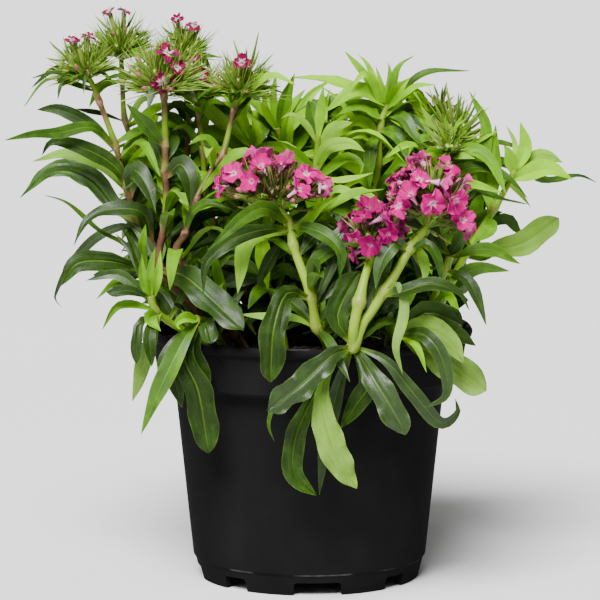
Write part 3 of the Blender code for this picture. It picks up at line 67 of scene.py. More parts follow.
MM = 0.001
VIEW_DISTANCE = 2200.0
VIEW_ELEVATION = math.radians(8.0)
VIEW_HEIGHT = 161.5
VIEW_SIDE = -5.5
VIEW_WIDTH = 348.6
SENSOR = 36.0
TO_VIEWER = Vector((0.0, -1.0, 0.14))
UP = Vector((0.0, 0.0, 1.0))
GOLDEN_TURN = 2.39996

# The seeds of the draws: the places that the plain solids took, the fine shapes, the leaves
# that fill the middle, those that close gaps, and the crumbs
PLACING_SEED = 47
SHAPE_SEED = 8
FILLER_SEED = 21
GAP_SEED = 5
SOIL_SEED = 11

# The pot is a 3 litre nursery pot, 190 mm over its lip and 147 mm high
POT_SIDES = 112
POT_WALL = 1.6
POT_HEIGHT = 147.0
FOOT_RADIUS = 63.9
FOOT_WALL = 3.1
BASE_UNDERSIDE = 8.2
BASE_THICKNESS = 2.0
FOOT_TOP = (66.6, 11.4)
SHOULDER = (67.9, 13.0)
STEP = (78.7, 116.3)
BAND_FOOT = (88.1, 118.8)
BAND_TOP = (91.4, 140.6)
LIP = ((94.2, 141.6), (95.0, 144.4), (93.4, POT_HEIGHT), (90.4, 146.2))
POT_ROUNDING = 0.9
POT_CREASE = 38.0
SLOT_TURN = math.radians(4.0)
SLOT_COUNT = 8
WIDE_SLOT = 28.0
NARROW_SLOT = 16.0
SLOT_HEIGHT = 7.7
SLOT_REACH = (-9, 6)
DRAIN_HOLE_COUNT = 4
DRAIN_HOLE_RADIUS = 5.0
DRAIN_HOLE_RING = 42.0
SOIL_HEIGHT = 137.0
SOIL_GAP = 0.3
SOIL_SIDES = 150
SOIL_RINGS = 60
SOIL_LUMPS = ((0.07, 2.2), (0.25, 1.6), (0.7, 1.1))
CRUMB_COUNT = 420
CRUMB_SIZES = (0.8, 2.6)
SOIL_CREASE = 60.0

# Stems start under the soil, taper to their tops and swell at their joints
STEM_DEPTH = 12.0
STEM_TAPER = 0.3
BRANCH_RADII = (2.6, 2.6, 2.9, 2.2, 2.0)

# By how much a stem swells at a joint and at the sheath over it, and how far its blush spreads
# under the joint, with the shift along the stem and the width of each
JOINT_SWELL, JOINT_SHIFT, JOINT_WIDTH = 0.42, 0.0, 2.3
SHEATH_SWELL, SHEATH_SHIFT, SHEATH_WIDTH = 0.16, -4.0, 3.0
BLUSH_SHIFT, BLUSH_WIDTH = 4.0, 10.0

# How much paler some stems are than the others; the top whorl's stem is paler partly as painted
# light, against the shade that its own leaves cast on it
STEM_PALENESS_AND_PAINTED_LIGHT = {"stem_middle_bloom": 0.75, "stem_right_bloom": 0.75, "stem_top_whorl": 1.0,
              "stem_green_head": 1.0}

# How purple-brown each stem is at its foot, and the height where it has turned green
BLUSHES = {
    "stem_far_left": (1.0, 236), "stem_second_left": (0.95, 232), "stem_third_left": (1.0, 236),
    "stem_fourth_left": (1.0, 228), "stem_fifth_left": (0.8, 225),
    "stem_sixth_left": (1.0, 262), "stem_middle_bloom": (0.15, 150),
    "stem_right_bloom": (0.15, 150), "stem_top_whorl": (0.0, 190),
    "stem_green_head": (0.1, 190), "stem_dark_head": (0.3, 240),
    "back_stem_left": (0.8, 215), "back_stem_crimson": (0.9, 215),
}
PLAIN_BLUSH = (0.08, 170)

# What each kind of blade is like: where it is widest, how blunt its tip is, how wide its foot
# is against its widest place, and how deep its channel is against its width
BLADE_KINDS = {
    "old": (0.38, 1.6, 0.50, 0.16), "mid": (0.40, 1.7, 0.50, 0.20), "new": (0.36, 1.5, 0.55, 0.24),
    "pale": (0.42, 1.8, 0.45, -0.14), "base": (0.62, 5.5, 0.30, 0.10),
    "dark": (0.50, 2.2, 0.40, 0.12), "spoon": (0.68, 2.9, 0.36, 0.0),
}
NARROWED_FOOT = 0.52
WIDEST_SHIFT = 0.08
BLUNT_FROM = 2.5
BLADE_RISE = 1.35
SPOON_RISE = 3.2

# A low broad leaf is shaped like a spoon; the channel of some kinds is deeper in a fine blade
SPOON_WIDTH = 12.0
SPOON_HEIGHT = 100.0
SPOON_FOLD = 2.4
FOLD_SHARES = {"new": 1.9, "mid": 1.35}

# The places across a blade where its fine mesh has corners, from edge to edge
NARROW_SPOTS = (-1.0, -0.6, 0.0, 0.6, 1.0)
WIDE_SPOTS = (-1.0, -0.84, -0.5, -0.13, 0.0, 0.13, 0.5, 0.84, 1.0)
BROAD_SPOTS = (-1.0, -0.88, -0.72, -0.56, -0.40, -0.25, -0.11, 0.0, 0.11, 0.25, 0.40, 0.56,
               0.72, 0.88, 1.0)
NARROW_WIDTH = 5.5
BROAD_WIDTH = 12.5
MIDRIB_STEPS = 24
BLADE_STEP = 3.3
FILLER_BLADE_STEP = 5.0
BLADE_ROWS = (9, 26)
BLADE_THICKNESS = 0.45

# A broad blade against a narrow one: how its rows crowd to the tip, its twist either way, the
# length of its waves, and the heights of its edge waves, of its folds and of its sunk midrib
BROAD_STYLE = (2.1, 0.5, (14, 24), 1.6, 0.33, 0.55)
NARROW_STYLE = (1.15, 0.8, (16, 30), 1, 0.10, 0.3)
QUILT_HEIGHT = 0.22
WAVY_KINDS = ("base", "spoon")
WAVY_SHARE = 1.9

# How old each kind of blade looks, from 0 for fresh yellow-green to 1 for dark blue-green, and
# how much darker the low leaves are. The dark kind is partly a leaf's own dark green and partly
# painted shade; the darkening of low leaves is partly their being older and partly painted shade
# low in the clump
AGES_AND_SHADES = {"old": 0.86, "mid": 0.52, "new": 0.10, "pale": 0.34, "base": 0.85, "dark": 0.95}
LOW_HEIGHT = 190.0
LOW_AGE_AND_SHADE = 0.32
FILLER_LOW_AGE_AND_SHADE = 0.45

# How much younger or older than that the leaves of some stems look
AGE_SHIFTS = {
    "stem_top_whorl": -0.28, "stem_dark_head": -0.25, "stem_green_head": -0.22,
    "shoot_top_right": -0.12, "shoot_middle_back": -0.25, "shoot_centre": -0.2,
    "stem_far_left": 0.06, "stem_third_left": 0.06, "shoot_far_left": 0.18,
    "stem_right_bloom": 0.08,
}

# The broad leaves, as their stem and width, whose pale underside faces the viewer, and those
# that look younger than the others of their stem
SEEN_FROM_UNDER = (("shoot_far_right", 15), ("shoot_right_low", 17))
BRIGHT_LEAVES = SEEN_FROM_UNDER + (("shoot_left_low", 11.5),)
BRIGHT_SHIFT = -0.4

# Between these outlines of the front view, as height, left and right, and within these
# reaches lie the leaves that follow a rule
MASS = ((138, -78, 80), (160, -86, 84), (190, -90, 90), (215, -86, 106), (240, -84, 98),
        (262, -66, 62), (268, -30, 46))
FILLER_MASS = ((138, -84, 84), (160, -100, 92), (190, -112, 98), (215, -116, 112),
               (240, -110, 112), (262, -98, 92), (280, -76, 66), (292, -30, 52))
GAP_MASS = ((148, -66, 84), (190, -66, 92), (215, -62, 98), (240, -54, 96), (262, -38, 70),
            (276, -30, 54))
REACH_ACROSS = 166.0
REACH_DEPTH = 134.0

# The shifts, turns and shortenings that a leaf may have taken to keep clear of the others
DEPTH_SHIFTS = (0, -5, 5, -10, 10, -16, 16, -23, 23, -32, 32, -42, 42)
HEIGHT_SHIFTS = (0, 2.5, -2.5, 5.5, -5.5)
TURNS = (0, 14, -14, 30, -30, 50, -50, 75, -75)
SHARES = (1.0, 0.82, 0.66)
LEAF_STEPS = (1.4, 3.8, 6.0, 2.6, 4.9)
BRACT_SHARES = (1.0, 0.7, 0.5)
TIP_MATCH = 0.02

# The ranges of the leaves at the hidden joints; those of the far stems are longer
NEAR_LENGTHS = (38, 62)
FAR_LENGTHS = (55, 85)
RULED_WIDTHS = (8, 12)
RULED_RISES = (0.3, 0.8)
RULED_DROOPS = (0.1, 0.7)
RULED_KINDS = ("old", "mid", "mid", "dark")
RULED_FACING = 0.12

# Further leaves stand along the stems; above the young height they are fresher
FILLER_STEP = 9.0
FILLER_TRIES = 3
STRIP_START = 0.12
YOUNG_HEIGHT = 205.0
HIDING_DISTANCE = 150.0

# Upright and spreading further leaves: their kinds low down and high up, and the ranges of
# their rise, length and droop, of their width and of how far they face the viewer
UPRIGHT_KINDS = (("mid", "old", "old"), ("new", "new", "mid"))
UPRIGHT_SHAPE = ((1.2, 2.2), (28, 48))
UPRIGHT_WIDTHS, UPRIGHT_FACING = (4, 6.5), (0.5, 0.9)
SPREADING_KINDS = (("old", "mid", "old", "dark", "dark", "dark"),
                   ("mid", "mid", "new", "new", "pale", "old"))
SPREADING_SHAPE = ((0.35, 1.1), (30, 62), (0.0, 0.6))
SPREADING_WIDTHS, SPREADING_FACING = (6.5, 10.5), (0.05, 0.6)
SEEN_DEPTH = 30.0

# The grid on which light is looked for between the leaves, the share of a blade that counts
# against it, and the widths, depths and reaches of the leaves that close it
GAP_GRID = 2.2
GAP_STRIP = 0.78
GAP_WIDTHS = ((10, 14), (8, 11), (5, 8), (5, 8))
GAP_DEPTHS = (40.0, 64.0, 88.0, 20.0, 4.0)
GAP_REACH = (18.0, 85.0)
GAP_TRIES = 14

# The tones of open heads, how purple the bracts of open and of tight heads are, how many
# calyxes crowd under the florets of each open one, the length, radii, profile and blush of a
# calyx, and the profile of a bud
PINK_TONES = ("pink", "magenta")
OPEN_BLUSH = 0.6
TIGHT_BLUSH = 0.3
OPEN_CROWDS = {"middle": 72, "right": 64, "low_right": 24, "back_pink": 44}
CALYX_LENGTH = 13.0
FLORET_CALYX = 1.7
CROWD_CALYX = 1.45
FAN_CALYX = 1.25
BLOOM_CALYX = 1.3
CALYX_PROFILE = (0.7, 1.0, 1.06, 1.04, 1.0, 0.98, 1.0)
CALYX_BLUSH = (0, 0, 0.1, 0.3, 0.5, 0.7, 0.9, 1, 1)
BUD_STEPS = (0, 0.2, 0.45, 0.7, 0.9, 1)
BUD_PROFILE = (0.75, 0.95, 1.0, 0.72, 0.35, 0.1)

# Tight heads: how far their stalks fan out, their size, their number of calyxes and how
# purple these and their bracts are
FAN_DROP = 14.0
FAN_SPREAD = math.radians(82)
FAN_SIZES = {"far_left": 1.5, "second_left": 1.5, "third_left": 2.0, "sixth_left": 1.4,
             "green": 0.85, "dark": 1.15, "fifth_left": 1.8}
FAN_COUNTS = {"green": 30, "dark": 16, "third_left": 52, "fifth_left": 34, "fourth_left": 30}
FAN_BLUSHES = {"green": (-1.0, -0.8, -0.5, -0.2, 0.0), "dark": (0.2, 0.5, 0.8, 1.0)}
PLAIN_FAN = (1.4, 34, (0.0, 0.1, 0.2, 0.45, 0.7), (0, 0, 0, 0.1, 0.35))

# The narrow leaves close under a tight head, and the many under the green one: their count,
# their reach, their width, how far they face the viewer and their kinds
SKIRT_COUNT = 7
SKIRT_REACH = (17, 34)
SKIRT_WIDTHS = (2.8, 5.2)
SKIRT_FACING = 0.4
SKIRT_KINDS = ("old", "mid", "dark")
STRAP_COUNT = 22
STRAP_REACH = (19, 31)
STRAP_WIDTHS = (2.4, 4.4)
STRAP_FACING = 0.6
STRAP_KINDS = ("new", "new", "pale")

# The bracts round each calyx of a fan: their count, how much they lean and how much they bend
BLOOMING_BRACTS = (7, 0.42, 0.22)
CLOSED_BRACTS = (5, 0.6, 0.38)

# The florets: by how much those of some heads are larger or smaller, the room between them,
# how broad their petals are and how much they lean on open and on tight heads, the mesh of a
# petal, how far petals may tilt up, and the trumpet (depth, radius, reach)
FLORET_SHARES = {"middle": 0.84, "right": 0.95, "third_left": 1.15}
FLORET_GAP = 10.5
OPEN_PETALS = (0.54, 0.65)
TIGHT_PETALS = (0.48, 0.15)
PETAL_COLUMNS = 11
PETAL_ROWS = 8
PETAL_THICKNESS = 0.3
PETAL_TILTS = (-0.1, 0.08, 0.25, 0.5, 0.85)
TRUMPET = ((-8.0, 0.10, 0.12), (-5.0, 0.12, 0.12), (-3.0, 0.15, 0.14), (-1.5, 0.20, 0.18),
           (-0.5, 0.26, 0.24), (0.05, 0.24, 0.10))

# The colours of a blade's top from fresh to old, and of its veins, edge, foot and underside
LEAF_AGES = ((0.0, (0.19, 0.42, 0.004)), (0.30, (0.098, 0.25, 0.003)),
             (0.60, (0.034, 0.092, 0.005)), (0.85, (0.0125, 0.037, 0.003)),
             (1.0, (0.0055, 0.017, 0.0012)))
LEAF_WARM = (0.085, 0.13, 0.002)
LEAF_COOL = (0.026, 0.058, 0.012)
LEAF_STREAK = (0.12, 0.22, 0.02)
LEAF_PEBBLE = (0.10, 0.16, 0.02)
LEAF_RIB = (0.20, 0.33, 0.02)
LEAF_EDGE = (0.10, 0.18, 0.02)
LEAF_FOOT = (0.14, 0.24, 0.015)
LEAF_BLUSH = (0.17, 0.055, 0.035)
LEAF_UNDER = (0.18, 0.30, 0.050)
LEAF_UNDER_RIB = (0.080, 0.19, 0.008)
LEAF_SCATTER = (0.5, 1.0, 0.2)
RIB_FADE = ((0.0, (1.0, 1.0, 1.0)), (0.25, (0.6, 0.6, 0.6)), (0.7, (0.22, 0.22, 0.22)))

STEM_GREENS = ((0.3, (0.075, 0.17, 0.003)), (0.7, (0.15, 0.27, 0.008)))
STEM_PALES = ((0.3, (0.13, 0.22, 0.012)), (0.7, (0.23, 0.34, 0.030)))
STEM_BROWNS = ((0.3, (0.040, 0.014, 0.009)), (0.75, (0.125, 0.055, 0.033)))
KNOT_PALE = (0.34, 0.22, 0.12)
CALYX_GREENS = ((0.0, (0.040, 0.105, 0.006)), (0.5, (0.115, 0.232, 0.022)),
                (1.0, (0.30, 0.40, 0.06)))
CALYX_PALE = (0.38, 0.50, 0.13)
CALYX_BROWNS = ((0.0, (0.016, 0.004, 0.006)), (1.0, (0.085, 0.020, 0.024)))
BUD_COLOURS = ((0.0, (0.26, 0.20, 0.09)), (0.4, (0.36, 0.09, 0.13)), (0.9, (0.26, 0.006, 0.075)))

# What each tone of petal is like: its eye, its pale ring, its limb and its darker veins, and
# where the ring ends and the limb starts
PETAL_COLOURS = {
    "pink": ((0.42, 0.42, 0.20), (0.80, 0.42, 0.60), (0.47, 0.0, 0.174), (0.22, 0.0, 0.058),
             (0.15, 0.30)),
    "magenta": ((0.35, 0.33, 0.16), (0.58, 0.20, 0.42), (0.34, 0.0, 0.121), (0.13, 0.0, 0.034),
                (0.12, 0.24)),
    "crimson": ((0.42, 0.48, 0.05), (0.85, 0.62, 0.72), (0.19, 0.0, 0.046), (0.085, 0.0, 0.017),
                (0.27, 0.40)),
}

POT_BLACKS = ((0.3, (0.0050, 0.0050, 0.0053)), (0.7, (0.0080, 0.0080, 0.0084)))
# The pale of the dashed lines at the pot's shoulder and lip: partly scuffed wear, partly a painted
# highlight on these edges
POT_SCUFF_AND_HIGHLIGHT = (0.16, 0.16, 0.16)
POT_DUST = (0.020, 0.019, 0.018)
PEAT_BROWNS = ((0.25, (0.008, 0.004, 0.003)), (0.5, (0.034, 0.016, 0.010)),
               (0.8, (0.12, 0.058, 0.032)))
PEAT_FIBRE = (0.050, 0.024, 0.013)
FLOOR_GREYS = ((0.3, (0.65, 0.65, 0.65)), (0.7, (0.67, 0.67, 0.67)))
NOISE_ROUGHNESS = 0.55

# The studio: a soft sun, a large lamp, an even sky and a floor that fills the view
SUN_WAY = (0.24, 0.95, -1.15)
SUN_POWER = 11.5
SUN_ANGLE = math.radians(30)
LAMP_PLACE = (-1.3, -1.2, 0.9)
LAMP_AIM = (0.0, 0.0, 0.17)
LAMP_SIZE = 1.0
LAMP_POWER = 10
SKY_POWER = 0.26
FLOOR_REACH = 12000.0
FLOOR_COUNT = 25

# Each stem: where it leaves the soil (x, y), its radius, and which of the places that it
# passes are swollen joints; those places (x, h, y each); and its leaves: the place that a
# leaf grows from, its kind, width and how far it faces the viewer, and the places along
# its midrib. A branch leaves a place as a leaf does.
STEMS = {
    "stem_far_left": ((-52, -8), 1.9, (1, 3, 4, 6),
        (-72, 165, -15, -92, 195, -22, -98.5, 206, -24, -106, 227, -27, -112, 251, -28,
         -115.9, 262.6, -28, -121.5, 277.5, -28, -126, 288.5, -28),
        (7, "old", 4.5, 0.6, -143, 294, -36, -161, 290.5, -38),
        (7, "mid", 4.5, 0.3, -150, 290, -20, -165.4, 273.5, -18),
        (7, "old", 4, 0.7, -141.5, 288, -40, -145.5, 277.7, -42),
        (7, "old", 4, 0.5, -110, 292, -38, -93, 288, -46),
        (4, "old", 7.5, 0.7, -125, 262, -38, -145, 259, -46, -160, 258, -53, -177, 254.5, -60),
        (4, "dark", 8, 0.7, -124, 262, -22, -143, 272, -18, -157.5, 272.5, -16),
        (3, "old", 10, 0.8, -112, 239, -33, -128, 249, -37, -148, 254, -38, -155, 245.5, -40),
        (3, "pale", 7, 0.7, -120, 240, -22, -140, 247, -20, -160.5, 242.3, -20),
        (3, "old", 12, 0.8, -102, 237, -38, -95, 230, -46, -89, 212, -52),
        (2, "mid", 13, 0.85, -112, 216, -18, -127, 233, -14, -148, 238, -12, -167.5, 221.5, -10),
        (1, "old", 10, 0.8, -97, 213, -32, -118, 214, -38, -130, 207, -42, -137, 193, -44),
        (1, "old", 6, 0.7, -105, 204.5, -14, -125, 197, -8, -140, 180, -4, -148, 163, -2,
         -143.5, 157.5, -2)),
    "stem_second_left": ((-60, 14), 1.8, (1, 2, 4, 5),
        (-78, 170, 11, -91, 205, 6, -95, 243, 0, -101, 252, -4, -106.6, 266.5, -6, -108, 290, -8),
        (5, "mid", 6, 0.7, -120, 286, -14, -127.3, 273.5, -16),
        (5, "old", 4, 0.5, -101, 298, -16, -96, 303, -20),
        (4, "dark", 4.5, 0.4, -120, 270, -4, -135, 273, -2),
        (4, "pale", 4.5, 0.6, -98, 277, -14, -88, 280, -18),
        (2, "mid", 7, 0.5, -104, 252, 10, -118, 247, 16)),
    "stem_third_left": ((-46, -30), 2.2, (1, 2, 4, 5, 6),
        (-68, 158, -36, -87, 180, -42, -84, 206, -42, -83, 222, -42, -83.5, 237, -40,
         -83.5, 252, -38, -84, 280, -36),
        (1, "base", 17, 0.95, -72, 175, -62, -55, 160, -76, -38.6, 144, -86),
        (5, "old", 9, 0.8, -95, 264, -46, -106, 276, -50),
        (4, "old", 8, 0.8, -88, 250, -30, -94, 265, -26),
        (4, "old", 12, 0.85, -75, 241, -50, -69.5, 232, -56, -69, 214.5, -58),
        (6, "mid", 4, 0.5, -94, 290, -44, -103, 288, -48)),
    "stem_fourth_left": ((-28, 10), 1.8, (2, 3, 4),
        (-48, 180, 3, -66, 221, -4, -71, 237, -6, -70, 258, -3, -71.5, 285, 1),
        (4, "mid", 5, 0.3, -62, 302, -4, -50, 302.5, -8),
        (4, "old", 4, 0.4, -80, 298, 6, -88, 306, 8),
        (3, "mid", 6, 0.5, -78, 268, 8, -90, 270, 12),
        (2, "mid", 7, 0.7, -62, 250, 4, -54, 262, 8)),
    "stem_fifth_left": ((-18, -14), 1.8, (1, 2, 3),
        (-42, 180, -15, -58, 215, -18, -62, 250, -17, -64, 270, -14),
        (3, "mid", 4.5, 0.5, -56, 277, -20, -48, 275, -24),
        (3, "old", 5, 0.6, -76, 276, -18, -86, 268, -22),
        (2, "mid", 6, 0.7, -72, 262, -26, -80, 260, -28)),
    "stem_sixth_left": ((-36, -46), 1.9, (1, 2, 3, 5, 6),
        (-58, 160, -54, -76.8, 188, -59, -72, 201, -59, -65.5, 221, -55, -54, 241, -48,
         -50, 247, -45, -43.3, 273, -38),
        (2, "old", 6.5, 0.6, -68, 213, -64, -58, 218, -68, -42, 213, -72),
        (2, "dark", 6, 0.5, -64, 208, -50, -55, 212, -46, -45, 211, -44),
        (6, "mid", 4.5, 0.4, -48, 284, -44, -57, 282, -48),
        (6, "dark", 4.5, 0.5, -28, 284, -36, -11, 281, -36),
        (5, "mid", 6, 0.6, -60, 256, -50, -70, 252, -54)),
    "stem_middle_bloom": ((12, -68), 2.8, (1, 2, 4, 5),
        (8, 140, -82, 3.8, 146, -88, 0.9, 163, -88, -5, 180, -84, -9.5, 193, -80,
         -12.3, 206.5, -77),
        (2, "base", 14.5, 0.97, -13, 166, -101, -21, 145, -113, -23, 113, -114),
        (1, "mid", 6, 0.7, 11, 137, -104, 23.4, 113, -118),
        (1, "pale", 5.5, 0.5, -8, 151, -90, -24, 152, -90, -41, 153, -88),
        (5, "old", 9, 0.8, -25, 215, -86, -38, 210, -92, -60, 190, -98),
        (5, "old", 9, 0.8, -25, 203, -90, -45, 197, -99, -60, 183, -105, -62, 164, -107),
        (5, "pale", 9.5, 0.9, -24, 201, -80, -37, 194, -86, -42, 165, -90),
        (5, "old", 9, 0.8, -2, 204, -86, 10, 199, -92, 18, 189, -96, 17, 173, -96),
        (4, "dark", 8, 0.7, -18, 192, -74, -26, 180, -72, -30, 168, -72)),
    "stem_right_bloom": ((24, -64), 3.0, (2, 5, 7),
        (24.2, 143, -76, 24.6, 139.5, -90, 25, 133.5, -104, 31, 148, -104, 36, 155, -102,
         43.3, 166.7, -100, 47.8, 173.5, -98, 58.2, 192, -92),
        (2, "branch", 25.5, 146, -109, 28.5, 160, -106, 31.5, 173.5, -101),
        (2, "base", 15, 0.97, 13, 129, -112, -5, 112, -120, -25, 96, -122),
        (2, "base", 16, 0.95, 16, 152, -100, 28.5, 178, -95),
        (2, "base", 14.5, 0.97, 36, 117, -114, 48, 97, -120, 56, 82, -120),
        (2, "dark", 9, 0.9, 44, 126, -108, 60, 107, -110, 76, 89, -108, 86, 95, -104,
         84.5, 104, -102),
        (2, "mid", 12, 0.9, 13, 123, -106, 2, 105, -108, -8.5, 80, -106, -9, 58, -104,
         4, 46, -104),
        (2, "pale", 16, 0.97, 11, 120, -112, 7, 98, -116, 15, 70, -116, 27.5, 50, -114),
        (2, "mid", 9, 0.9, 17, 112, -98, 9, 76, -96, 5.5, 46, -94),
        (2, "dark", 12, 0.9, 34, 113, -100, 27, 100, -98, 18, 86, -95),
        (2, "mid", 5, 0.6, 4, 122, -98, -15, 110, -104, -24, 90, -106, -20.5, 77.6, -104),
        (5, "pale", 6, 0.85, 51, 171, -107, 55, 155, -111, 50, 135, -116, 54, 117.5, -116),
        (5, "old", 11, 0.6, 55, 167, -110, 70, 171, -112, 86, 166, -110, 93, 155, -108),
        (7, "old", 10, 0.85, 49, 195, -102, 41, 183, -106, 38, 168, -108),
        (7, "old", 6.5, 0.7, 67, 195, -98, 74, 186, -101, 76.5, 169, -101),
        (7, "pale", 6.5, 0.7, 63, 190, -86, 67, 180, -86, 66, 171, -88)),
    "stem_top_whorl": ((28, 22), 2.2, (1, 2, 3, 4),
        (34, 190, 22, 38, 225, 18, 39.8, 240.7, 16, 41, 262, 12, 45, 276, 10),
        (4, "mid", 5.5, 0.7, 32, 292, 6, 20, 306.5, 4),
        (4, "mid", 4.5, 0.6, 34, 297, 16, 28, 304.5, 18),
        (4, "mid", 5.5, 0.6, 33, 293, 0, 23, 284, -4),
        (4, "new", 3.5, 0.6, 41, 288, 4, 38, 298, 2),
        (4, "mid", 4.5, 0.7, 46.5, 290, 14, 45.5, 300, 15),
        (4, "mid", 5.5, 0.6, 51, 296, 5, 60.5, 304, 2),
        (4, "old", 5.5, 0.4, 65, 293, 14, 93, 295, 18),
        (4, "mid", 5.5, 0.5, 60, 285, 0, 73, 287, -4),
        (4, "new", 9, 0.9, 52, 285, -6, 58, 291, -10),
        (4, "mid", 5.5, 0.5, 61, 284, 20, 68, 278, 24),
        (4, "mid", 9, 0.8, 27, 284, 0, 9, 271, -6),
        (4, "mid", 6.5, 0.6, 28, 276, 18, 10, 268, 24),
        (4, "old", 8, 0.85, 54, 268, -4, 60, 258, -10, 66, 250, -12),
        (3, "old", 8.5, 0.85, 50, 258, 0, 58, 244, -4),
        (3, "old", 8, 0.85, 35, 250, 2, 35, 227, -2),
        (3, "mid", 7, 0.8, 30, 266, 4, 20, 262, 2),
        (2, "mid", 9, 0.5, 50, 240, 26, 60, 226, 32),
        (1, "mid", 8, 0.7, 28, 232, 8, 18, 224, 2),
        (1, "old", 9, 0.7, 46, 232, 4, 54, 215, -8)),
    "stem_green_head": ((58, 20), 2.3, (1, 2),
        (67, 190, 15, 76.5, 230, 6, 79.5, 245, 2),
        (2, "mid", 8.5, 0.8, 92, 250, -10, 104, 243, -15, 114, 222.5, -20),
        (2, "dark", 6.5, 0.75, 100, 244, 14, 120, 238, 30, 138, 231.5, 44, 155, 234.5, 54,
         166.8, 230, 60),
        (2, "old", 6, 0.5, 100, 245, 2, 120, 240, 4, 139, 232, 4),
        (2, "mid", 6.5, 0.7, 70, 256, -2, 60, 252, -6, 57, 245, -6),
        (2, "mid", 7.5, 0.8, 71, 248, -12, 63, 243, -18),
        (2, "pale", 5, 0.6, 87, 246, -14, 96, 244, -20),
        (2, "dark", 5, 0.3, 95, 252, 8, 110, 253.5, 10, 125, 249, 10),
        (1, "old", 8.5, 0.7, 90, 238, -4, 104.3, 238, -8, 118, 230, -12, 126.6, 220.5, -14),
        (1, "dark", 6.5, 0.4, 95, 226, -18, 110, 221, -24, 126.5, 217.5, -28),
        (1, "pale", 6, 0.7, 98, 238, 12, 115, 231, 18, 128.6, 215.4, 20),
        (1, "mid", 7, 0.5, 94, 229, -26, 112, 224, -34)),
    "stem_dark_head": ((48, 42), 1.8, (1, 2),
        (60, 200, 38, 70, 240, 34, 75, 262, 31),
        (2, "mid", 5, 0.5, 86, 270, 36, 97, 268, 40),
        (2, "mid", 5, 0.5, 64, 270, 38, 54, 270, 44),
        (1, "mid", 8, 0.5, 88, 252, 42, 104, 246, 50)),
    "shoot_top_right": ((66, -18), 2.2, (1, 2),
        (86, 180, -14, 107, 215, -10, 119, 237, -8),
        (2, "new", 8.5, 0.95, 124.5, 250, -6, 121.7, 265.5, -6),
        (2, "pale", 8.5, 0.85, 133, 246, -2, 146.4, 241.7, 2),
        (2, "new", 11.5, 0.9, 137, 238, -14, 152.5, 231.8, -16),
        (2, "new", 8, 0.9, 115, 247, -14, 112, 252, -16),
        (2, "pale", 3.5, 0.6, 118.8, 252, 4, 113.5, 263.5, 8),
        (1, "mid", 8.5, 0.9, 107, 240, -4, 107.5, 264, -2),
        (1, "mid", 8.5, 0.8, 100, 237, 0, 102, 262, 2, 92, 283.5, 4),
        (1, "mid", 9, 0.7, 104, 202, -30, 95, 195, -38)),
    "shoot_far_right": ((70, 4), 2.2, (1, 2),
        (82, 172, 7, 92, 190, 10, 97, 202, 10),
        (1, "base", 15, 0.93, 108, 191, 10, 125, 196, 10, 144.6, 209.5, 10),
        (2, "dark", 7, 0.7, 106, 207, 14, 115, 209, 14, 120, 203, 14, 123.7, 199.5, 14),
        (2, "old", 9, 0.8, 101, 210, 0, 112, 213, -6),
        (1, "mid", 8, 0.5, 100, 186, 20, 116, 194, 30),
        (2, "mid", 9, 0.5, 90, 215, 20, 80, 222, 26),
        (2, "mid", 9, 0.8, 98, 218, 4, 106, 226, 2)),
    "shoot_right": ((62, -38), 2.2, (1, 2),
        (71, 160, -52, 79, 180, -64, 81, 187, -65),
        (1, "old", 7.5, 0.7, 91, 174, -72, 99, 158, -75, 102.7, 146, -75),
        (0, "mid", 9, 0.8, 84, 171, -44, 97, 180, -36, 116.5, 178.5, -30),
        (2, "mid", 7.5, 0.6, 102, 191.5, -62, 122.5, 182.5, -60),
        (0, "new", 6, 0.7, 80, 164, -68, 85, 156, -74, 89, 146.6, -76),
        (1, "new", 7, 0.7, 82, 174, -52, 77, 164, -46),
        (2, "mid", 8, 0.8, 88, 200, -56, 92, 212, -50)),
    "shoot_right_low": ((44, -56), 2.4, (1,),
        (48, 147, -73, 52, 141, -88),
        (1, "base", 15, 0.85, 68, 154, -92, 89, 146.5, -94),
        (1, "pale", 16, 0.95, 66, 145, -100, 80, 138, -103, 90, 124, -103),
        (1, "base", 17, 0.97, 66, 133, -92, 80, 124, -92, 92, 116, -90, 103, 108, -88),
        (1, "mid", 9, 0.8, 66.5, 141, -110, 76.4, 128, -114, 80, 106, -112, 66, 98, -108),
        (1, "new", 6, 0.7, 62, 134, -112, 68, 118.5, -114),
        (1, "dark", 11, 0.85, 70, 146, -80, 85, 142, -76, 96.8, 134.5, -74)),
    "shoot_far_left": ((-58, -42), 2.2, (1, 2),
        (-82, 149, -55, -90, 156, -61, -92.4, 164, -62),
        (2, "new", 5, 0.8, -92.5, 178, -68, -89.4, 193, -70),
        (2, "new", 5, 0.8, -88, 176, -58, -86.5, 191, -56),
        (2, "new", 6, 0.85, -97, 175, -64, -97.5, 189, -64),
        (1, "new", 5, 0.8, -103, 159, -64, -113, 157, -66, -121, 143.5, -66),
        (1, "new", 9.5, 0.9, -93, 150, -70, -86.5, 143, -74),
        (2, "new", 6, 0.7, -104, 168, -56, -112, 172, -53, -124.5, 161.5, -52),
        (2, "mid", 6.5, 0.8, -110, 176, -58, -130, 173, -58),
        (2, "base", 6.5, 0.9, -104, 167, -70, -118, 166, -74),
        (1, "base", 6.5, 0.8, -98, 149, -67, -100.5, 140, -71, -101, 124, -73),
        (1, "dark", 7.5, 0.8, -93, 142, -76, -92, 122, -80),
        (1, "pale", 9.5, 0.9, -94, 134, -62, -99, 116, -60, -103.5, 101.5, -58)),
    "shoot_left_low": ((-48, -54), 2.3, (1,),
        (-59, 148, -72, -66, 150, -81),
        (1, "mid", 11.5, 0.97, -74, 137, -94, -88, 108, -100, -98.7, 82, -100),
        (1, "base", 16, 0.97, -73, 128, -88, -65, 108, -86, -59, 71, -80),
        (1, "dark", 12, 0.9, -68, 132, -80, -63, 116, -78, -67, 98, -76),
        (1, "new", 7, 0.7, -73, 151, -92, -78, 147, -96, -75, 144, -98),
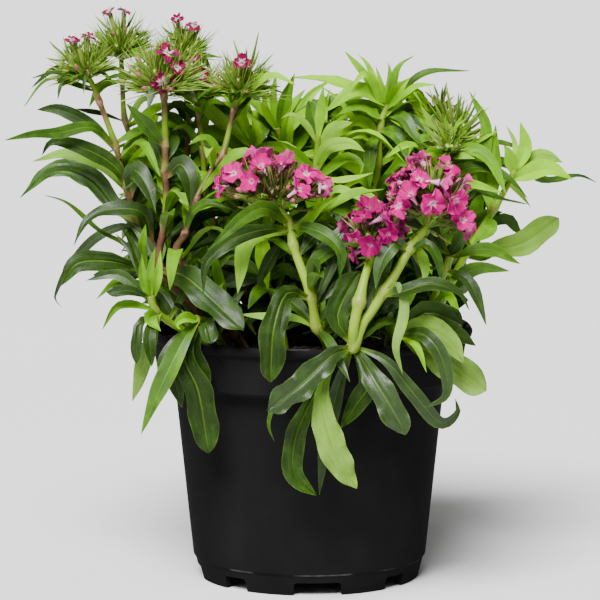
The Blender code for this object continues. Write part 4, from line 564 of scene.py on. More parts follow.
        (1, "base", 10, 0.9, -60, 147, -90, -57, 136, -94),
        (1, "dark", 10, 0.9, -79, 124, -86, -74.5, 98, -84),
        (1, "dark", 8.5, 0.8, -83, 130, -92, -84.7, 106, -94)),
    "shoot_left_mid": ((-66, -20), 2.1, (1,),
        (-84, 166, -27, -97, 180, -33),
        (1, "dark", 12.5, 0.9, -115, 184, -38, -135, 183, -42, -144, 170, -44),
        (1, "old", 6, 0.1, -108, 194, -30, -122, 202, -28, -140, 218, -26, -154, 223, -24),
        (1, "dark", 8, 0.6, -112, 178, -24, -126, 176, -20),
        (1, "mid", 6, 0.8, -97, 192, -42, -95, 206, -46)),
    "shoot_middle": ((-20, 28), 2.1, (1, 2),
        (-26, 200, 25, -32, 236, 18, -32.5, 252, 14),
        (2, "pale", 8.5, 0.85, -45, 260, 8, -60, 274, 2, -77, 283, -2),
        (2, "mid", 8.5, 0.8, -47, 270, 20, -60, 279, 24),
        (2, "mid", 7.5, 0.7, -45, 254, 0, -60, 261, -6, -72, 265, -10),
        (2, "new", 8.5, 0.9, -31, 258, 8, -33, 268, 6),
        (1, "mid", 9, 0.7, -44, 244, 10, -54, 240, 4),
        (1, "mid", 9, 0.7, -24, 246, 6, -16, 240, -2),
        (2, "mid", 8, 0.6, -26, 262, 22, -20, 258, 30)),
    "shoot_middle_back": ((-4, 34), 2.1, (1, 2),
        (-8, 200, 32, -14, 246, 25, -19, 262, 21),
        (2, "mid", 4.5, 0.8, -21, 278, 20, -19, 295, 20),
        (2, "mid", 5, 0.8, -26, 274, 12, -24, 284, 10),
        (2, "mid", 8.5, 0.9, -14, 278, 14, -8.5, 293.5, 12),
        (2, "mid", 5.5, 0.6, -11, 274, 28, -2, 284.5, 32),
        (1, "new", 8.5, 0.9, -13, 262, 12, -10, 276, 8),
        (1, "mid", 8, 0.8, -4, 258, 24, 2, 272, 24)),
    "shoot_centre": ((10, 6), 2.2, (1, 2, 3),
        (9, 175, 4, 6, 214, 0, 4, 238, -2, 5, 256, -2),
        (3, "mid", 6.5, 0.85, 6.5, 271, 0, 8, 286, 0),
        (3, "pale", 5, 0.7, -2, 264, -8, -10, 270, -14, -17, 267, -18),
        (3, "pale", 7.5, 0.8, 14, 262, -8, 25, 265, -12),
        (2, "pale", 8.5, 0.85, 10, 250, -12, 22, 253, -18, 32, 248, -22),
        (3, "mid", 7, 0.8, 16, 256, 6, 27, 266, 8),
        (2, "pale", 5.5, 0.5, 16, 232, -16, 28, 233.5, -22, 37, 236, -26),
        (2, "mid", 7.5, 0.7, 20, 244, -8, 30, 241, -12, 29, 235, -14),
        (2, "mid", 8, 0.8, -8, 246, -10, -16, 254, -14),
        (1, "old", 7, 0.7, 18, 215, -14, 27, 208, -22, 33, 199, -28),
        (1, "pale", 6, 0.6, 14, 226, -22, 24, 224, -32, 36, 216, -40),
        (1, "mid", 8, 0.6, -4, 222, -8, -12, 214, -16)),
    "shoot_middle_low": ((-14, -34), 2.1, (1, 2),
        (-20, 160, -42, -26, 176, -46, -29, 202, -48),
        (2, "new", 9.5, 0.9, -27, 190, -58, -24, 167, -62),
        (1, "dark", 8.5, 0.8, -38, 174, -54, -52, 170, -56),
        (1, "mid", 8, 0.7, -40, 184, -46, -55, 184, -44),
        (1, "mid", 8, 0.8, -30, 166, -58, -36, 156, -64),
        (1, "mid", 7.5, 0.8, -14, 180, -56, -4, 172, -60),
        (2, "mid", 8, 0.6, -38, 212, -50, -50, 204, -50),
        (2, "mid", 8, 0.6, -20, 214, -44, -8, 216, -40)),
}

# The stems of the far side, whose leaves all follow a rule
BACK_STEMS = {
    "back_stem_left": ((-44, 44), 2.1, (0, 1, 2),
        (-62, 185, 68, -76, 212, 82, -82, 230, 90)),
    "back_stem_crimson": ((-18, 56), 1.9, (0, 1, 2),
        (-22, 185, 78, -30, 212, 90, -36, 228, 98)),
    "back_stem_pink": ((18, 58), 2.6, (0, 1),
        (20, 172, 80, 22, 190, 90)),
    "back_stem_right": ((46, 50), 2.1, (0, 1, 2),
        (58, 185, 68, 70, 212, 82, 76, 230, 90)),
    "back_shoot_low": ((0, 70), 2.2, (0, 1),
        (0, 166, 86, -1, 172, 98)),
    "back_shoot_left": ((-62, 32), 2.2, (0, 1),
        (-75, 166, 46, -86, 178, 58)),
    "back_shoot_right": ((62, 34), 2.2, (0, 1),
        (75, 166, 48, 86, 178, 60)),
}

# Each head: the stem that carries it, at its end or its side branch, and its tone; its green
# core, the crowded heart of its petals, and the dome that its florets lie on, each as a
# middle (x, h, y) and half sizes; its bracts, as their count, shortest, longest, radius and
# rise; how many of its florets the far side repeats; and its florets (x, h, diameter)
HEAD_ROWS = {
    "far_left": ("stem_far_left", "end", "crimson", (-137, 303, -30, 6.5, 6, 6),
        (11, 6, 12, 0.9, 0.5), (-132, 311.8, -34, 5.5, 4.5, 2.3), (-137, 303, -30, 13, 11, 12), 0,
        -136.5, 312, 9.5, -127, 314.5, 9.5),
    "second_left": ("stem_second_left", "end", "crimson", (-109, 317, -9, 7, 6.5, 6),
        (10, 7, 13, 0.9, 0.6), (-110.5, 326, -10, 6, 4, 2.4), (-109, 317, -9, 13, 11, 13), 0,
        -115.5, 328.5, 9, -106.5, 329.5, 9),
    "third_left": ("stem_third_left", "end", "crimson", (-87, 297, -36, 7.5, 7, 6.5),
        (12, 7, 13, 0.9, 0.5), (-79.5, 297, -46.5, 7, 2.6, 9), (-87, 297, -36, 14, 19, 13), 0,
        -82, 305, 12, -84.5, 288, 14, -77, 296.5, 9),
    "fourth_left": ("stem_fourth_left", "end", "crimson", (-74, 315, 2, 6, 5.5, 5),
        (9, 6, 10, 0.9, 0.5), (-71.5, 322.6, 1, 5, 4, 2.2), (-74, 315, 2, 11, 10, 10), 0,
        -76, 323.5, 9, -66.5, 321, 9),
    "fifth_left": ("stem_fifth_left", "end", "crimson", (-66, 294, -11, 5, 4.5, 5),
        (8, 6, 9, 0.9, 0.4), (-65, 297, -17.9, 4, 3.2, 7), (-65, 293.5, -13, 10, 10, 10), 0,
        -66.5, 301, 9, -62.5, 292, 10.5),
    "sixth_left": ("stem_sixth_left", "end", "crimson", (-36, 294, -34, 8, 7, 6),
        (13, 8, 19, 0.9, 0.45), (-38, 297, -43.8, 3, 2.4, 3), (-36, 294, -34, 14, 12, 12), 0,
        -39, 299, 11),
    "dark": ("stem_dark_head", "end", None, (76, 277, 31, 3.6, 3.6, 5), (9, 5, 8, 0.9, 0.6)),
    "green": ("stem_green_head", "end", None, (84, 261, 0, 9, 8, 8), (32, 9, 17, 1.0, 0.75)),
    "middle": ("stem_middle_bloom", "end", "pink", (-20, 217, -78, 15, 11, 6),
        (16, 6, 12, 1.1, 0.4), (-23, 231, -80, 27, 19, 7), (-22, 226, -78, 33, 24, 15), 2,
        -53, 227, 15, -44, 235, 16, -33, 231, 15, -28, 238.5, 16, -17, 239.5, 16, -2, 235, 16,
        6, 230, 14, -7, 226, 18),
    "right": ("stem_right_bloom", "end", "pink", (67, 203.6, -86, 12, 11, 6),
        (14, 6, 12, 1.1, 0.1), (68, 224.5, -88, 19, 17, 13.5), (69, 218, -86, 25, 23, 25), 2,
        57.5, 240, 16.5, 50.5, 230, 15, 63, 231, 15, 75, 230, 17, 51.5, 216.5, 16, 59, 222, 15,
        70.5, 218, 17, 83.5, 220, 17, 88, 208, 15, 93, 201.5, 13),
    "low_right": ("stem_right_bloom", "branch", "magenta", (35.5, 187, -92, 5, 5, 5),
        (10, 5, 9, 1.0, 0.0), (36, 201.5, -92, 10, 10, 7.5), (36, 200, -92, 15, 15, 14), 1,
        30.5, 210, 14, 41, 209, 14, 25.5, 197, 14, 35, 194, 14, 45, 200, 14, 26.5, 189, 12),
    "back_pink": ("back_stem_pink", "end", "pink", (22, 197.6, 95, 11, 11, 6),
        (10, 6, 12, 1.1, 0.2), (22, 212, 96, 17, 17, 8), (22, 210, 96, 23, 22, 18), 2, 10, 219, 16,
        33, 220, 16, 23, 212, 16),
    "back_crimson": ("back_stem_crimson", "end", "crimson", (-38, 240, 101, 7, 7, 6),
        (11, 6, 12, 0.9, 0.5), (-38, 248.6, 100, 6, 4, 2.2), (-38, 240, 101, 13, 13, 12), 0,
        -43, 249, 10, -32.5, 249, 10),
}


def triples(numbers):
    """Numbers in a row as groups of three."""
    return tuple(zip(*[iter(numbers)] * 3))


def place(x, h, y):
    """Where a point that the front view shows at x, h lies when its depth is y."""
    scale = 1.0 + y / VIEW_DISTANCE
    drop = y * math.tan(VIEW_ELEVATION)
    return Vector((x * scale, y, VIEW_HEIGHT + (h - VIEW_HEIGHT) * scale - drop))


def stem_record(soil, radius, joints, places, *rows):
    """A row of the stem tables, with its parts named."""
    record = {"soil": soil, "radius": radius, "joints": joints, "places": triples(places),
              "branch": None, "leaves": []}
    for at, kind, *numbers in rows:
        if kind == "branch":
            record["branch"] = (at, triples(numbers))
        else:
            record["leaves"].append((at, triples(numbers[2:]), numbers[0], numbers[1], kind))
    return record


def head_record(stem, seat, tone, core, bracts, heart=(), dome=(), repeated=0, *florets):
    """A row of the head table, with its parts named; a core's and a heart's middle is real."""
    return {"stem": stem, "on_branch": seat == "branch", "tone": tone,
            "open": tone in PINK_TONES, "bracts": bracts, "core": (place(*core[:3]), core[3:]),
            "heart": heart and (place(*heart[:3]), heart[3:]), "dome": (dome[:3], dome[3:]),
            "repeated": repeated, "florets": triples(florets)}


ALL_STEMS = {name: stem_record(*row) for name, row in {**STEMS, **BACK_STEMS}.items()}
HEADS = {name: head_record(*row) for name, row in HEAD_ROWS.items()}


def clamp(value):
    return min(1.0, max(0.0, value))


def level(turn):
    """The level direction at a turn."""
    return Vector((math.cos(turn), math.sin(turn), 0.0))


def sphere_spot(lift, turn):
    """The direction that a turn and a lift between -1 and 1 give."""
    flat = math.sqrt(max(0.0, 1 - lift * lift))
    return Vector((flat * math.cos(turn), flat * math.sin(turn), lift))


def random_spot(chance, most):
    return Vector([chance.uniform(-most, most) for _ in range(3)])


def lean(way, amount, chance):
    """A direction turned a little aside, at random."""
    return (way + random_spot(chance, 1) * amount).normalized()


def arrays(vectors):
    return np.array([tuple(v) for v in vectors])


def seen_from_front(point):
    """Where the front view shows a real point, as x and h."""
    scale = 1.0 + point.y / VIEW_DISTANCE
    drop = point.y * math.tan(VIEW_ELEVATION)
    return point.x / scale, VIEW_HEIGHT + (point.z - VIEW_HEIGHT + drop) / scale


def path_length(points):
    return sum((b - a).length for a, b in zip(points, points[1:]))


def smooth_path(points, count):
    """Even points along the smooth curve through the given points."""
    ends = [points[0] * 2 - points[1]] + list(points) + [points[-1] * 2 - points[-2]]
    fine = []
    for i in range(1, len(ends) - 2):
        a, b, c, d = ends[i - 1:i + 3]
        for j in range(12):
            t = j / 12
            fine.append(0.5 * (2 * b + (c - a) * t + (2 * a - 5 * b + 4 * c - d) * t * t
                               + (3 * b - a - 3 * c + d) * t ** 3))
    fine.append(points[-1])
    run = [0.0]
    for a, b in zip(fine, fine[1:]):
        run.append(run[-1] + (b - a).length)
    even = []
    k = 0
    for i in range(count):
        want = run[-1] * i / (count - 1)
        while k < len(run) - 2 and run[k + 1] < want:
            k += 1
        share = (want - run[k]) / max(run[k + 1] - run[k], 1e-6)
        even.append(fine[k].lerp(fine[k + 1], min(share, 1.0)))
    return even


def along_path(points, i):
    """The direction of a path at one of its points."""
    return (points[min(i + 1, len(points) - 1)] - points[max(i - 1, 0)]).normalized()


def stand(name, data):
    """An object of the given data, in the scene."""
    thing = bpy.data.objects.new(name, data)
    bpy.context.scene.collection.objects.link(thing)
    return thing


class Shape:
    """The corners and faces of one piece, with the values that its materials read."""

    def __init__(self):
        self.corners = []
        self.faces = []
        self.materials = []
        self.marks = {}
        self.count = 0

    def add(self, corners, faces, material=0, **marks):
        """Add corners as an array of places, faces of their numbers, and a mark per corner."""
        size = len(corners)
        self.corners.append(np.asarray(corners, dtype=float))
        self.faces += [tuple(i + self.count for i in face) for face in faces]
        self.materials += [material] * len(faces)
        for name in set(self.marks) | set(marks):
            gathered = self.marks.setdefault(name, [np.zeros(self.count)])
            value = marks.get(name, 0.0)
            gathered.append(np.broadcast_to(np.asarray(value, dtype=float), (size,)))
        self.count += size

    def piece(self, name, materials, crease=50.0):
        """The object in metres, with its materials."""
        mesh = bpy.data.meshes.new(name)
        mesh.from_pydata((np.concatenate(self.corners) * MM).tolist(), [], self.faces)
        for material in materials:
            mesh.materials.append(material)
        mesh.polygons.foreach_set("material_index", self.materials)
        for mark, gathered in self.marks.items():
            values = np.concatenate(gathered).astype(np.float32)
            mesh.attributes.new(mark, "FLOAT", "POINT").data.foreach_set("value", values)
        mesh.shade_smooth()
        mesh.set_sharp_from_angle(angle=math.radians(crease))
        return stand(name, mesh)


def ring_faces(rows, ring, tip=False):
    """The faces of a tube of rings of corners, closed at its foot and at its end or tip."""
    i = np.arange(rows - 1)[:, None] * ring
    j = np.arange(ring)[None, :]
    n = (j + 1) % ring
    quads = np.stack([i + j, i + n, i + ring + n, i + ring + j], -1).reshape(-1, 4)
    faces = [tuple(quad) for quad in quads.tolist()]
    faces.append(tuple(range(ring - 1, -1, -1)))
    last = (rows - 1) * ring
    if tip:
        return faces + [(last + k, last + (k + 1) % ring, last + ring) for k in range(ring)]
    return faces + [tuple(range(last, last + ring))]


def sheet_faces(rows, ring, columns, tip=False):
    """The faces of a thin sheet, its two sides split into triangles alike so they can't cross."""
    whole = ring_faces(rows, ring, tip)
    sides = (rows - 1) * ring
    faces = []
    for k, (a, b, c, d) in enumerate(whole[:sides]):
        upper = k % ring < columns - 1
        faces += [(a, b, c), (a, c, d)] if upper else [(a, b, d), (b, c, d)]
    return faces + whole[sides:]


def tube(shape, points, radii, sides, material=0, pointed=False, **marks):
    """A round tube along points, with a mark per point."""
    side = Vector((1.0, 0.0, 0.0)) if abs((points[1] - points[0]).normalized().x) < 0.9 else UP
    turns = np.arange(sides) * 2 * np.pi / sides
    rings = []
    for i, point in enumerate(points):
        along = along_path(points, i)
        side = (side - along * side.dot(along)).normalized()
        ring = np.outer(np.cos(turns), side) + np.outer(np.sin(turns), along.cross(side))
        rings.append(np.array(point) + ring * radii[i])
    if pointed:
        rings[-1] = arrays(points[-1:])
    corners = np.concatenate(rings)
    for name, value in marks.items():
        if np.ndim(value):
            marks[name] = np.repeat(np.asarray(value, dtype=float), sides)[:len(corners)]
    shape.add(corners, ring_faces(len(points) - pointed, sides, pointed), material, **marks)


def blade_width(t, kind):
    """The blade's share of its full width at t, from its foot at 0 to its tip at 1."""
    widest, blunt, foot = BLADE_KINDS[kind][:3]
    foot *= NARROWED_FOOT
    if blunt < BLUNT_FROM:
        widest += WIDEST_SHIFT
    if t < widest:
        rise = SPOON_RISE if kind == "spoon" else BLADE_RISE
        return foot + (1 - foot) * math.sin(t / widest * math.pi / 2) ** rise
    return 1 - ((t - widest) / (1 - widest)) ** blunt


def blade_frames(points, facing):
    """The directions across the blade and out of its face at each point of its midrib."""
    face = (UP * (1 - facing) + TO_VIEWER * facing).normalized()
    frames = []
    across = None
    for i in range(len(points)):
        along = along_path(points, i)
        side = along.cross(face)
        if side.length < 0.2:
            side = across or along.cross(Vector((0.0, 1.0, 0.1)))
        side.normalize()
        if across and side.dot(across) < 0:
            side = -side
        across = side
        frames.append((across, across.cross(along).normalized()))
    return frames


def blade_style(leaf):
    """The kind that a blade is shaped as, whether it is broad, and how deep its channel is."""
    path, width, _, kind = leaf
    fold = BLADE_KINDS[kind][3]
    if kind in ("mid", "pale") and width >= SPOON_WIDTH and path[-1].z < SPOON_HEIGHT:
        return "spoon", True, fold if kind == "pale" else fold * SPOON_FOLD
    if kind == "base" or width >= BROAD_WIDTH:
        return kind, True, fold
    return kind, False, fold * FOLD_SHARES.get(kind, 1.0)


def blade_spine(leaf, step, style, chance):
    """The midrib of a fine blade, the directions across it and out of it, and the rows' shares."""
    path, _, facing, _ = leaf
    crowd, most = style[:2]
    fewest, highest = BLADE_ROWS
    rows = min(highest, max(fewest, round(path_length(path) / step)))
    spine = smooth_path(path, MIDRIB_STEPS + 1)
    t = 1 - (1 - np.arange(rows) / rows) ** crowd
    steps = np.linspace(0, 1, MIDRIB_STEPS + 1)
    tables = [arrays(part) for part in (spine, *zip(*blade_frames(spine, facing)))]
    middle, across, out = [np.stack([np.interp(t, steps, table[:, k]) for k in range(3)], -1)
                           for table in tables]
    twist = (chance.uniform(-most, most) * t ** 1.3)[:, None]
    return (middle, across * np.cos(twist) + out * np.sin(twist),
            out * np.cos(twist) - across * np.sin(twist), t)


def edge_waves(t, s, length, style, wavy, chance):
    """How a blade's edge waves sideways and up, and the phase of its waves."""
    spread, height = style[2:4]
    phase = chance.uniform(0, 6.3)
    waves = length / chance.uniform(*spread)
    bulge = np.sin(2 * np.pi * (waves * 0.8 * t + 0.23 * np.sign(s)) + phase * 1.7)
    bulge *= wavy * chance.uniform(0.03, 0.08) * np.clip(t * 3, 0, 1) * s ** 2
    ripple = np.sin(2 * np.pi * waves * t + phase + 1.9 * np.sign(s)) * np.abs(s) ** 3
    ripple *= chance.uniform(0.05, 0.15) * np.clip(t * 4, 0, 1) * height
    return bulge, ripple * wavy ** 0.5, phase


def blade_folds(t, s, length, style, phase, chance):
    """The heights of the lengthwise folds and the soft quilting of a blade 10 mm wide."""
    edge, sides = np.abs(s), np.sign(s)
    pitch = chance.uniform(0.46, 0.70)
    first = chance.uniform(0.18, 0.30) + 0.06 * sides * chance.uniform(-1, 1)
    folds = style[4] * np.cos((edge - first) * 2 * np.pi / pitch)
    folds = folds * np.clip(edge * 4, 0, 1) * (1 - edge ** 4)
    folds = folds * np.clip(t * 3, 0, 1) * np.clip((1 - t) * 3, 0, 1)
    folds = folds * (0.65 + 0.75 * np.sin(7 * t + phase + 2 * sides))
    quilt = (np.sin(length * t / 3.1 + 4.5 * edge * sides + phase * 2)
             * np.sin(length * t / 5.3 - 2.5 * edge + phase))
    return folds + quilt * np.clip(edge * 3, 0, 1) * (1 - edge ** 4) * QUILT_HEIGHT


def blade_section(width, broad):
    """The places round a blade's thin section, and which of them are under it."""
    narrow = NARROW_SPOTS if width < NARROW_WIDTH else WIDE_SPOTS
    top = np.array(BROAD_SPOTS if broad else narrow)
    under = np.concatenate([np.zeros(len(top)), np.ones(len(top) - 2)])
    under[[0, len(top) - 1]] = 0.1
    return np.concatenate([top, top[-2:0:-1]]), under, len(top)


def blade_corners(leaf, chance, step):
    """The corners and faces of a fine blade, and the marks of its corners."""
    path, width = leaf[:2]
    kind, broad, channel = blade_style(leaf)
    style = BROAD_STYLE if broad else NARROW_STYLE
    length = path_length(path)
    middle, across, out, t = blade_spine(leaf, step, style, chance)
    half = np.array([blade_width(value, kind) for value in t])[:, None] * width / 2
    s, under, columns = blade_section(width, broad)
    rows, ring, t = len(t), len(s), t[:, None]
    edge = np.abs(s)
    wavy = WAVY_SHARE if kind in WAVY_KINDS else 1.0
    bulge, ripple, phase = edge_waves(t, s, length, style, wavy, chance)
    channel = channel * edge ** 1.25 * (1 - 0.35 * t) + 0.7 * np.clip(1 - t / 0.14, 0, 1) * s ** 2
    rib = np.exp(-(s / 0.15) ** 2)
    size = min(1.0, width / 10)
    folds = blade_folds(t, s, length, style, phase, chance)
    height = half * (channel + ripple) + size * (folds - style[5] * rib)
    thick = BLADE_THICKNESS * (1 - 0.55 * edge ** 2) * (0.35 + 0.65 * (half / half.max()))
    keel = size * 0.55 * rib * (1 - 0.75 * t)
    height = height - np.where(under == 1, thick + keel, 0.0)
    corners = (middle[:, None] + across[:, None] * (half * s * (1 + bulge))[..., None]
               + out[:, None] * height[..., None])
    if leaf[3] == "pale":
        under = 1 - under
    marks = {"across": np.append(np.tile(s, rows), 0.0),
             "under": np.append(np.tile(under, rows), 0.4),
             "along": np.append(np.repeat(t, ring), 1.0),
             "breadth": np.append(np.repeat(half, ring), 0.0)}
    corners = np.concatenate([corners.reshape(-1, 3), arrays(path[-1:])])
    return corners, sheet_faces(rows, ring, columns, tip=True), marks


def add_blade(shape, owner, leaf, chance, step=BLADE_STEP, low_age_and_shade=LOW_AGE_AND_SHADE):
    path, width, _, kind = leaf
    corners, faces, marks = blade_corners(leaf, chance, step)
    age = AGES_AND_SHADES[kind] + AGE_SHIFTS.get(owner, 0.0) + chance.uniform(-0.18, 0.18)
    if (owner, width) in SEEN_FROM_UNDER:
        marks["under"] = 1 - marks["under"]
    if (owner, width) in BRIGHT_LEAVES:
        age += BRIGHT_SHIFT
    # Low leaves are darker: partly for being older, partly painted shade low in the clump
    age += low_age_and_shade * clamp((LOW_HEIGHT - path[-1].z) / 60)
    shape.add(corners, faces, 0, age=clamp(age), lot=chance.random(),
              blush=BLUSHES.get(owner, PLAIN_BLUSH)[0], **marks)


def core_points(middle, half):
    """The plain rounded core of a head, as corners and faces."""
    mesh = bmesh.new()
    bmesh.ops.create_icosphere(mesh, subdivisions=1, radius=1.0)
    verts = [middle + Vector([v.co[k] * half[k] for k in range(3)]) for v in mesh.verts]
    faces = [tuple(v.index for v in face.verts) for face in mesh.faces]
    mesh.free()
    return verts, faces


def dome_place(head, x, h, far):
    """The place and the outward direction of a floret on a head's dome."""
    middle, (wide, deep, tall) = head["dome"]
    u = (x - middle[0]) / wide
    v = (h - middle[1]) / tall
    inside = math.sqrt(max(0.0, 1 - u * u - v * v)) * (1 if far else -1)
    out = Vector((u / wide, inside / deep, v / tall + 0.25 / wide))
    return place(x, h, middle[2] + deep * inside), out.normalized()


def stem_path(stem):
    """A stem's real path, from its foot in the soil."""
    x, y = stem["soil"]
    foot = [Vector((x, y, SOIL_HEIGHT - STEM_DEPTH)), Vector((x, y, SOIL_HEIGHT + 2.5))]
    return foot + [place(*spot) for spot in stem["places"]]


def branch_path(stem):
    """The side branch of a forked stem, from the joint that it leaves."""
    if not stem["branch"]:
        return []
    at, spots = stem["branch"]
    return [place(*spot) for spot in (stem["places"][at],) + spots]


def mass_span(mass, h):
    """How far left and right an outline of the front view reaches at a height."""
    for (low, left_a, right_a), (high, left_b, right_b) in zip(mass, mass[1:]):
        if low <= h <= high:
            t = (h - low) / (high - low)
            return left_a + (left_b - left_a) * t, right_a + (right_b - right_a) * t
    return 0.0, 0.0


def in_mass(point, mass):
    """Whether a point lies where a leaf that follows a rule may reach."""
    x, h = seen_from_front(point)
    if abs(point.x) > REACH_ACROSS or abs(point.y) > REACH_DEPTH:
        return False
    if h < mass[0][0]:
        return abs(x) < -mass[0][1] and point.y > 0
    left, right = mass_span(mass, h)
    return left < x < right


def seen_leaf_paths(root, spots):
    """The paths that a leaf of the front view may take, nearly alike from the front."""
    for lower in HEIGHT_SHIFTS:
        for shift in DEPTH_SHIFTS:
            path = [root]
            for i, (x, h, y) in enumerate(spots):
                share = (i + 1) / len(spots)
                path.append(place(x, h + lower * share, y + shift * (0.5 + 0.5 * share)))
            yield path


def ruled_leaf_paths(root, turn, rise, length, droop, mass=MASS):
    """The paths that a leaf may take as it arches out from its joint."""
    for share in SHARES:
        for change in TURNS:
            out = level(turn + math.radians(change))
            reach = length * share
            middle = root + out * reach * 0.5 + UP * reach * rise * 0.5
            tip = root + out * reach * 0.92 + UP * reach * (rise * 0.7 - droop)
            if in_mass(tip, mass) and in_mass(middle, mass):
                yield [root, middle, tip]


def leaf_root(stem, at, order):
    """Where a joint's leaf leaves the stem; each one of a joint starts a little apart."""
    before, root = stem_path(stem)[at + 1:at + 3]
    return root + (before - root).normalized() * LEAF_STEPS[order % len(LEAF_STEPS)]


def node_corners(node):
    """The corners of a node's plain solid, in millimetres, ready to be searched."""
    mesh = frame["nodes"][node].data
    tree = KDTree(len(mesh.vertices))
    for vert in mesh.vertices:
        tree.insert(vert.co / MM, vert.index)
    tree.balance()
    return tree


def standing_leaf(paths, owner, width, facing, kind, corners):
    """The stem and the leaf whose tip is a corner of its plain solid, or nothing."""
    sunk = ALL_STEMS[owner]["radius"] * 0.35
    for path in paths:
        path[0] = path[0] + (path[1] - path[0]).normalized() * sunk
        if corners.find(path[-1])[2] < TIP_MATCH:
            return [(owner, (path, width, facing, kind))]
    return []


def seen_leaves():
    """The leaves that the front view shows, as their stem and the leaf."""
    leaves = []
    for name in STEMS:
        stem = ALL_STEMS[name]
        taken = []
        corners = node_corners(name)
        for at, spots, width, facing, kind in stem["leaves"]:
            paths = seen_leaf_paths(leaf_root(stem, at, taken.count(at)), spots)
            taken.append(at)
            leaves += standing_leaf(paths, name, width, facing, kind, corners)
    return leaves


def ruled_leaves(chance):
    """Opposite pairs of leaves at the joints that the front view hides."""
    leaves = []
    for name, stem in ALL_STEMS.items():
        taken = [leaf[0] for leaf in stem["leaves"]]
        corners = node_corners(name)
        lengths = FAR_LENGTHS if name in BACK_STEMS else NEAR_LENGTHS
        for at in stem["joints"]:
            start = chance.uniform(0, math.pi)
            if at in taken:
                continue
            for side in range(2):
                length = chance.uniform(*lengths)
                width = chance.uniform(*RULED_WIDTHS)
                rise = chance.uniform(*RULED_RISES)
                droop = chance.uniform(*RULED_DROOPS)
                kind = chance.choice(RULED_KINDS)
                paths = ruled_leaf_paths(leaf_root(stem, at, side), start + side * math.pi,
                                         rise, length, droop)
                leaves += standing_leaf(paths, name, width, RULED_FACING, kind, corners)
    return leaves


class Thicket:
    """Light stand-ins of everything placed so far, to keep later leaves clear of it."""

    def __init__(self, solids):
        self.solids = []
        for solid in solids:
            self.add(solid)

    def box(self, solid):
        low = [min(v[i] for v in solid[0]) for i in range(3)]
        high = [max(v[i] for v in solid[0]) for i in range(3)]
        return low, high

    def add(self, solid):
        self.solids.append((BVHTree.FromPolygons(*solid), *self.box(solid)))

    def is_clear(self, solid):
        low, high = self.box(solid)
        tree = None
        for other, other_low, other_high in self.solids:
            if any(low[i] > other_high[i] or high[i] < other_low[i] for i in range(3)):
                continue
            tree = tree or BVHTree.FromPolygons(*solid)
            if tree.overlap(other):
                return False
        return True


def blade_strip(leaf, start=0.0, share=1.0):
    """A flat strip along a blade, from a share of its length on."""
    path, width, facing, kind = leaf
    points = smooth_path(path, 11)
    verts = []
    for i, (point, (across, _)) in enumerate(zip(points, blade_frames(points, facing))):
        if i / 10 >= start:
            half = max(blade_width(i / 10, kind), 0.05) * width * 0.5 * share
            verts += [point - across * half, point + across * half]
    return verts, [(k, k + 1, k + 3, k + 2) for k in range(0, len(verts) - 2, 2)]


def blade_strips(leaves, start=0.0, share=1.0):
    return [blade_strip(leaf, start, share) for _, leaf in leaves]


def stem_tube(stem):
    """A plain tube along a stem, as corners and faces."""
    shape = Shape()
    points = stem_path(stem)[1:]
    tube(shape, points, [stem["radius"]] * len(points), 5)
    return [Vector(v) for v in np.concatenate(shape.corners)], shape.faces


def hides_seen(leaf, seen):
    """Whether a leaf would stand before what the front view shows."""
    away = (-TO_VIEWER).normalized()
    for point in smooth_path(leaf[0], 6)[1:]:
        hit = seen.ray_cast(point, away)[0]
        if hit and (hit - point).length < HIDING_DISTANCE:
            return True
    return False


def filler_kind(upright, height, chance):
    """The width, facing, kind and rise, length and droop of a further leaf."""
    high = height > YOUNG_HEIGHT
    if upright:
        kind = chance.choice(UPRIGHT_KINDS[high])
        shape = (*[chance.uniform(*ends) for ends in UPRIGHT_SHAPE], 0.0)
        return chance.uniform(*UPRIGHT_WIDTHS), chance.uniform(*UPRIGHT_FACING), kind, shape
    kind = chance.choice(SPREADING_KINDS[high])
    shape = [chance.uniform(*ends) for ends in SPREADING_SHAPE]
    return chance.uniform(*SPREADING_WIDTHS), chance.uniform(*SPREADING_FACING), kind, shape


def clear_leaf(paths, width, facing, kind, thicket, seen):
    """The first leaf along the given paths that is clear of what stands, or None."""
    for path in paths:
        leaf = (path, width, facing, kind)
        strip = blade_strip(leaf, STRIP_START)
        if not hides_seen(leaf, seen) and thicket.is_clear(strip):
            thicket.add(strip)
            return leaf
    return None


def stem_spots(stem, step, fewest):
    """Even places along a stem above the soil."""
    path = stem_path(stem)[1:]
    return smooth_path(path, max(fewest, round(path_length(path) / step)))


def filler_leaves(thicket, seen, chance):
    """Further leaves of every stem and its side shoots, clear of what stands already."""
    leaves = []
    for name, stem in ALL_STEMS.items():
        spots = stem_spots(stem, FILLER_STEP, 2)
        turn = chance.uniform(0, 6.3)
        for spot in spots[1:]:
            turn += math.pi / 2 + chance.uniform(-0.3, 0.3)
            for side in range(4):
                for _ in range(FILLER_TRIES):
                    angle = turn + side * math.pi / 2 + chance.uniform(-0.5, 0.5)
                    width, facing, kind, shape = filler_kind(side == 3, spot.z, chance)
                    paths = ruled_leaf_paths(spot, angle, *shape, FILLER_MASS)
                    leaf = clear_leaf(paths, width, facing, kind, thicket, seen)
                    if leaf:
                        leaves.append((name, leaf))
                        break
    return leaves


def joined(solids):
    """One search tree of several solids."""
    verts, faces = [], []
    for solid_verts, solid_faces in solids:
        faces += [tuple(i + len(verts) for i in face) for face in solid_faces]
        verts += solid_verts
    return BVHTree.FromPolygons(verts, faces)


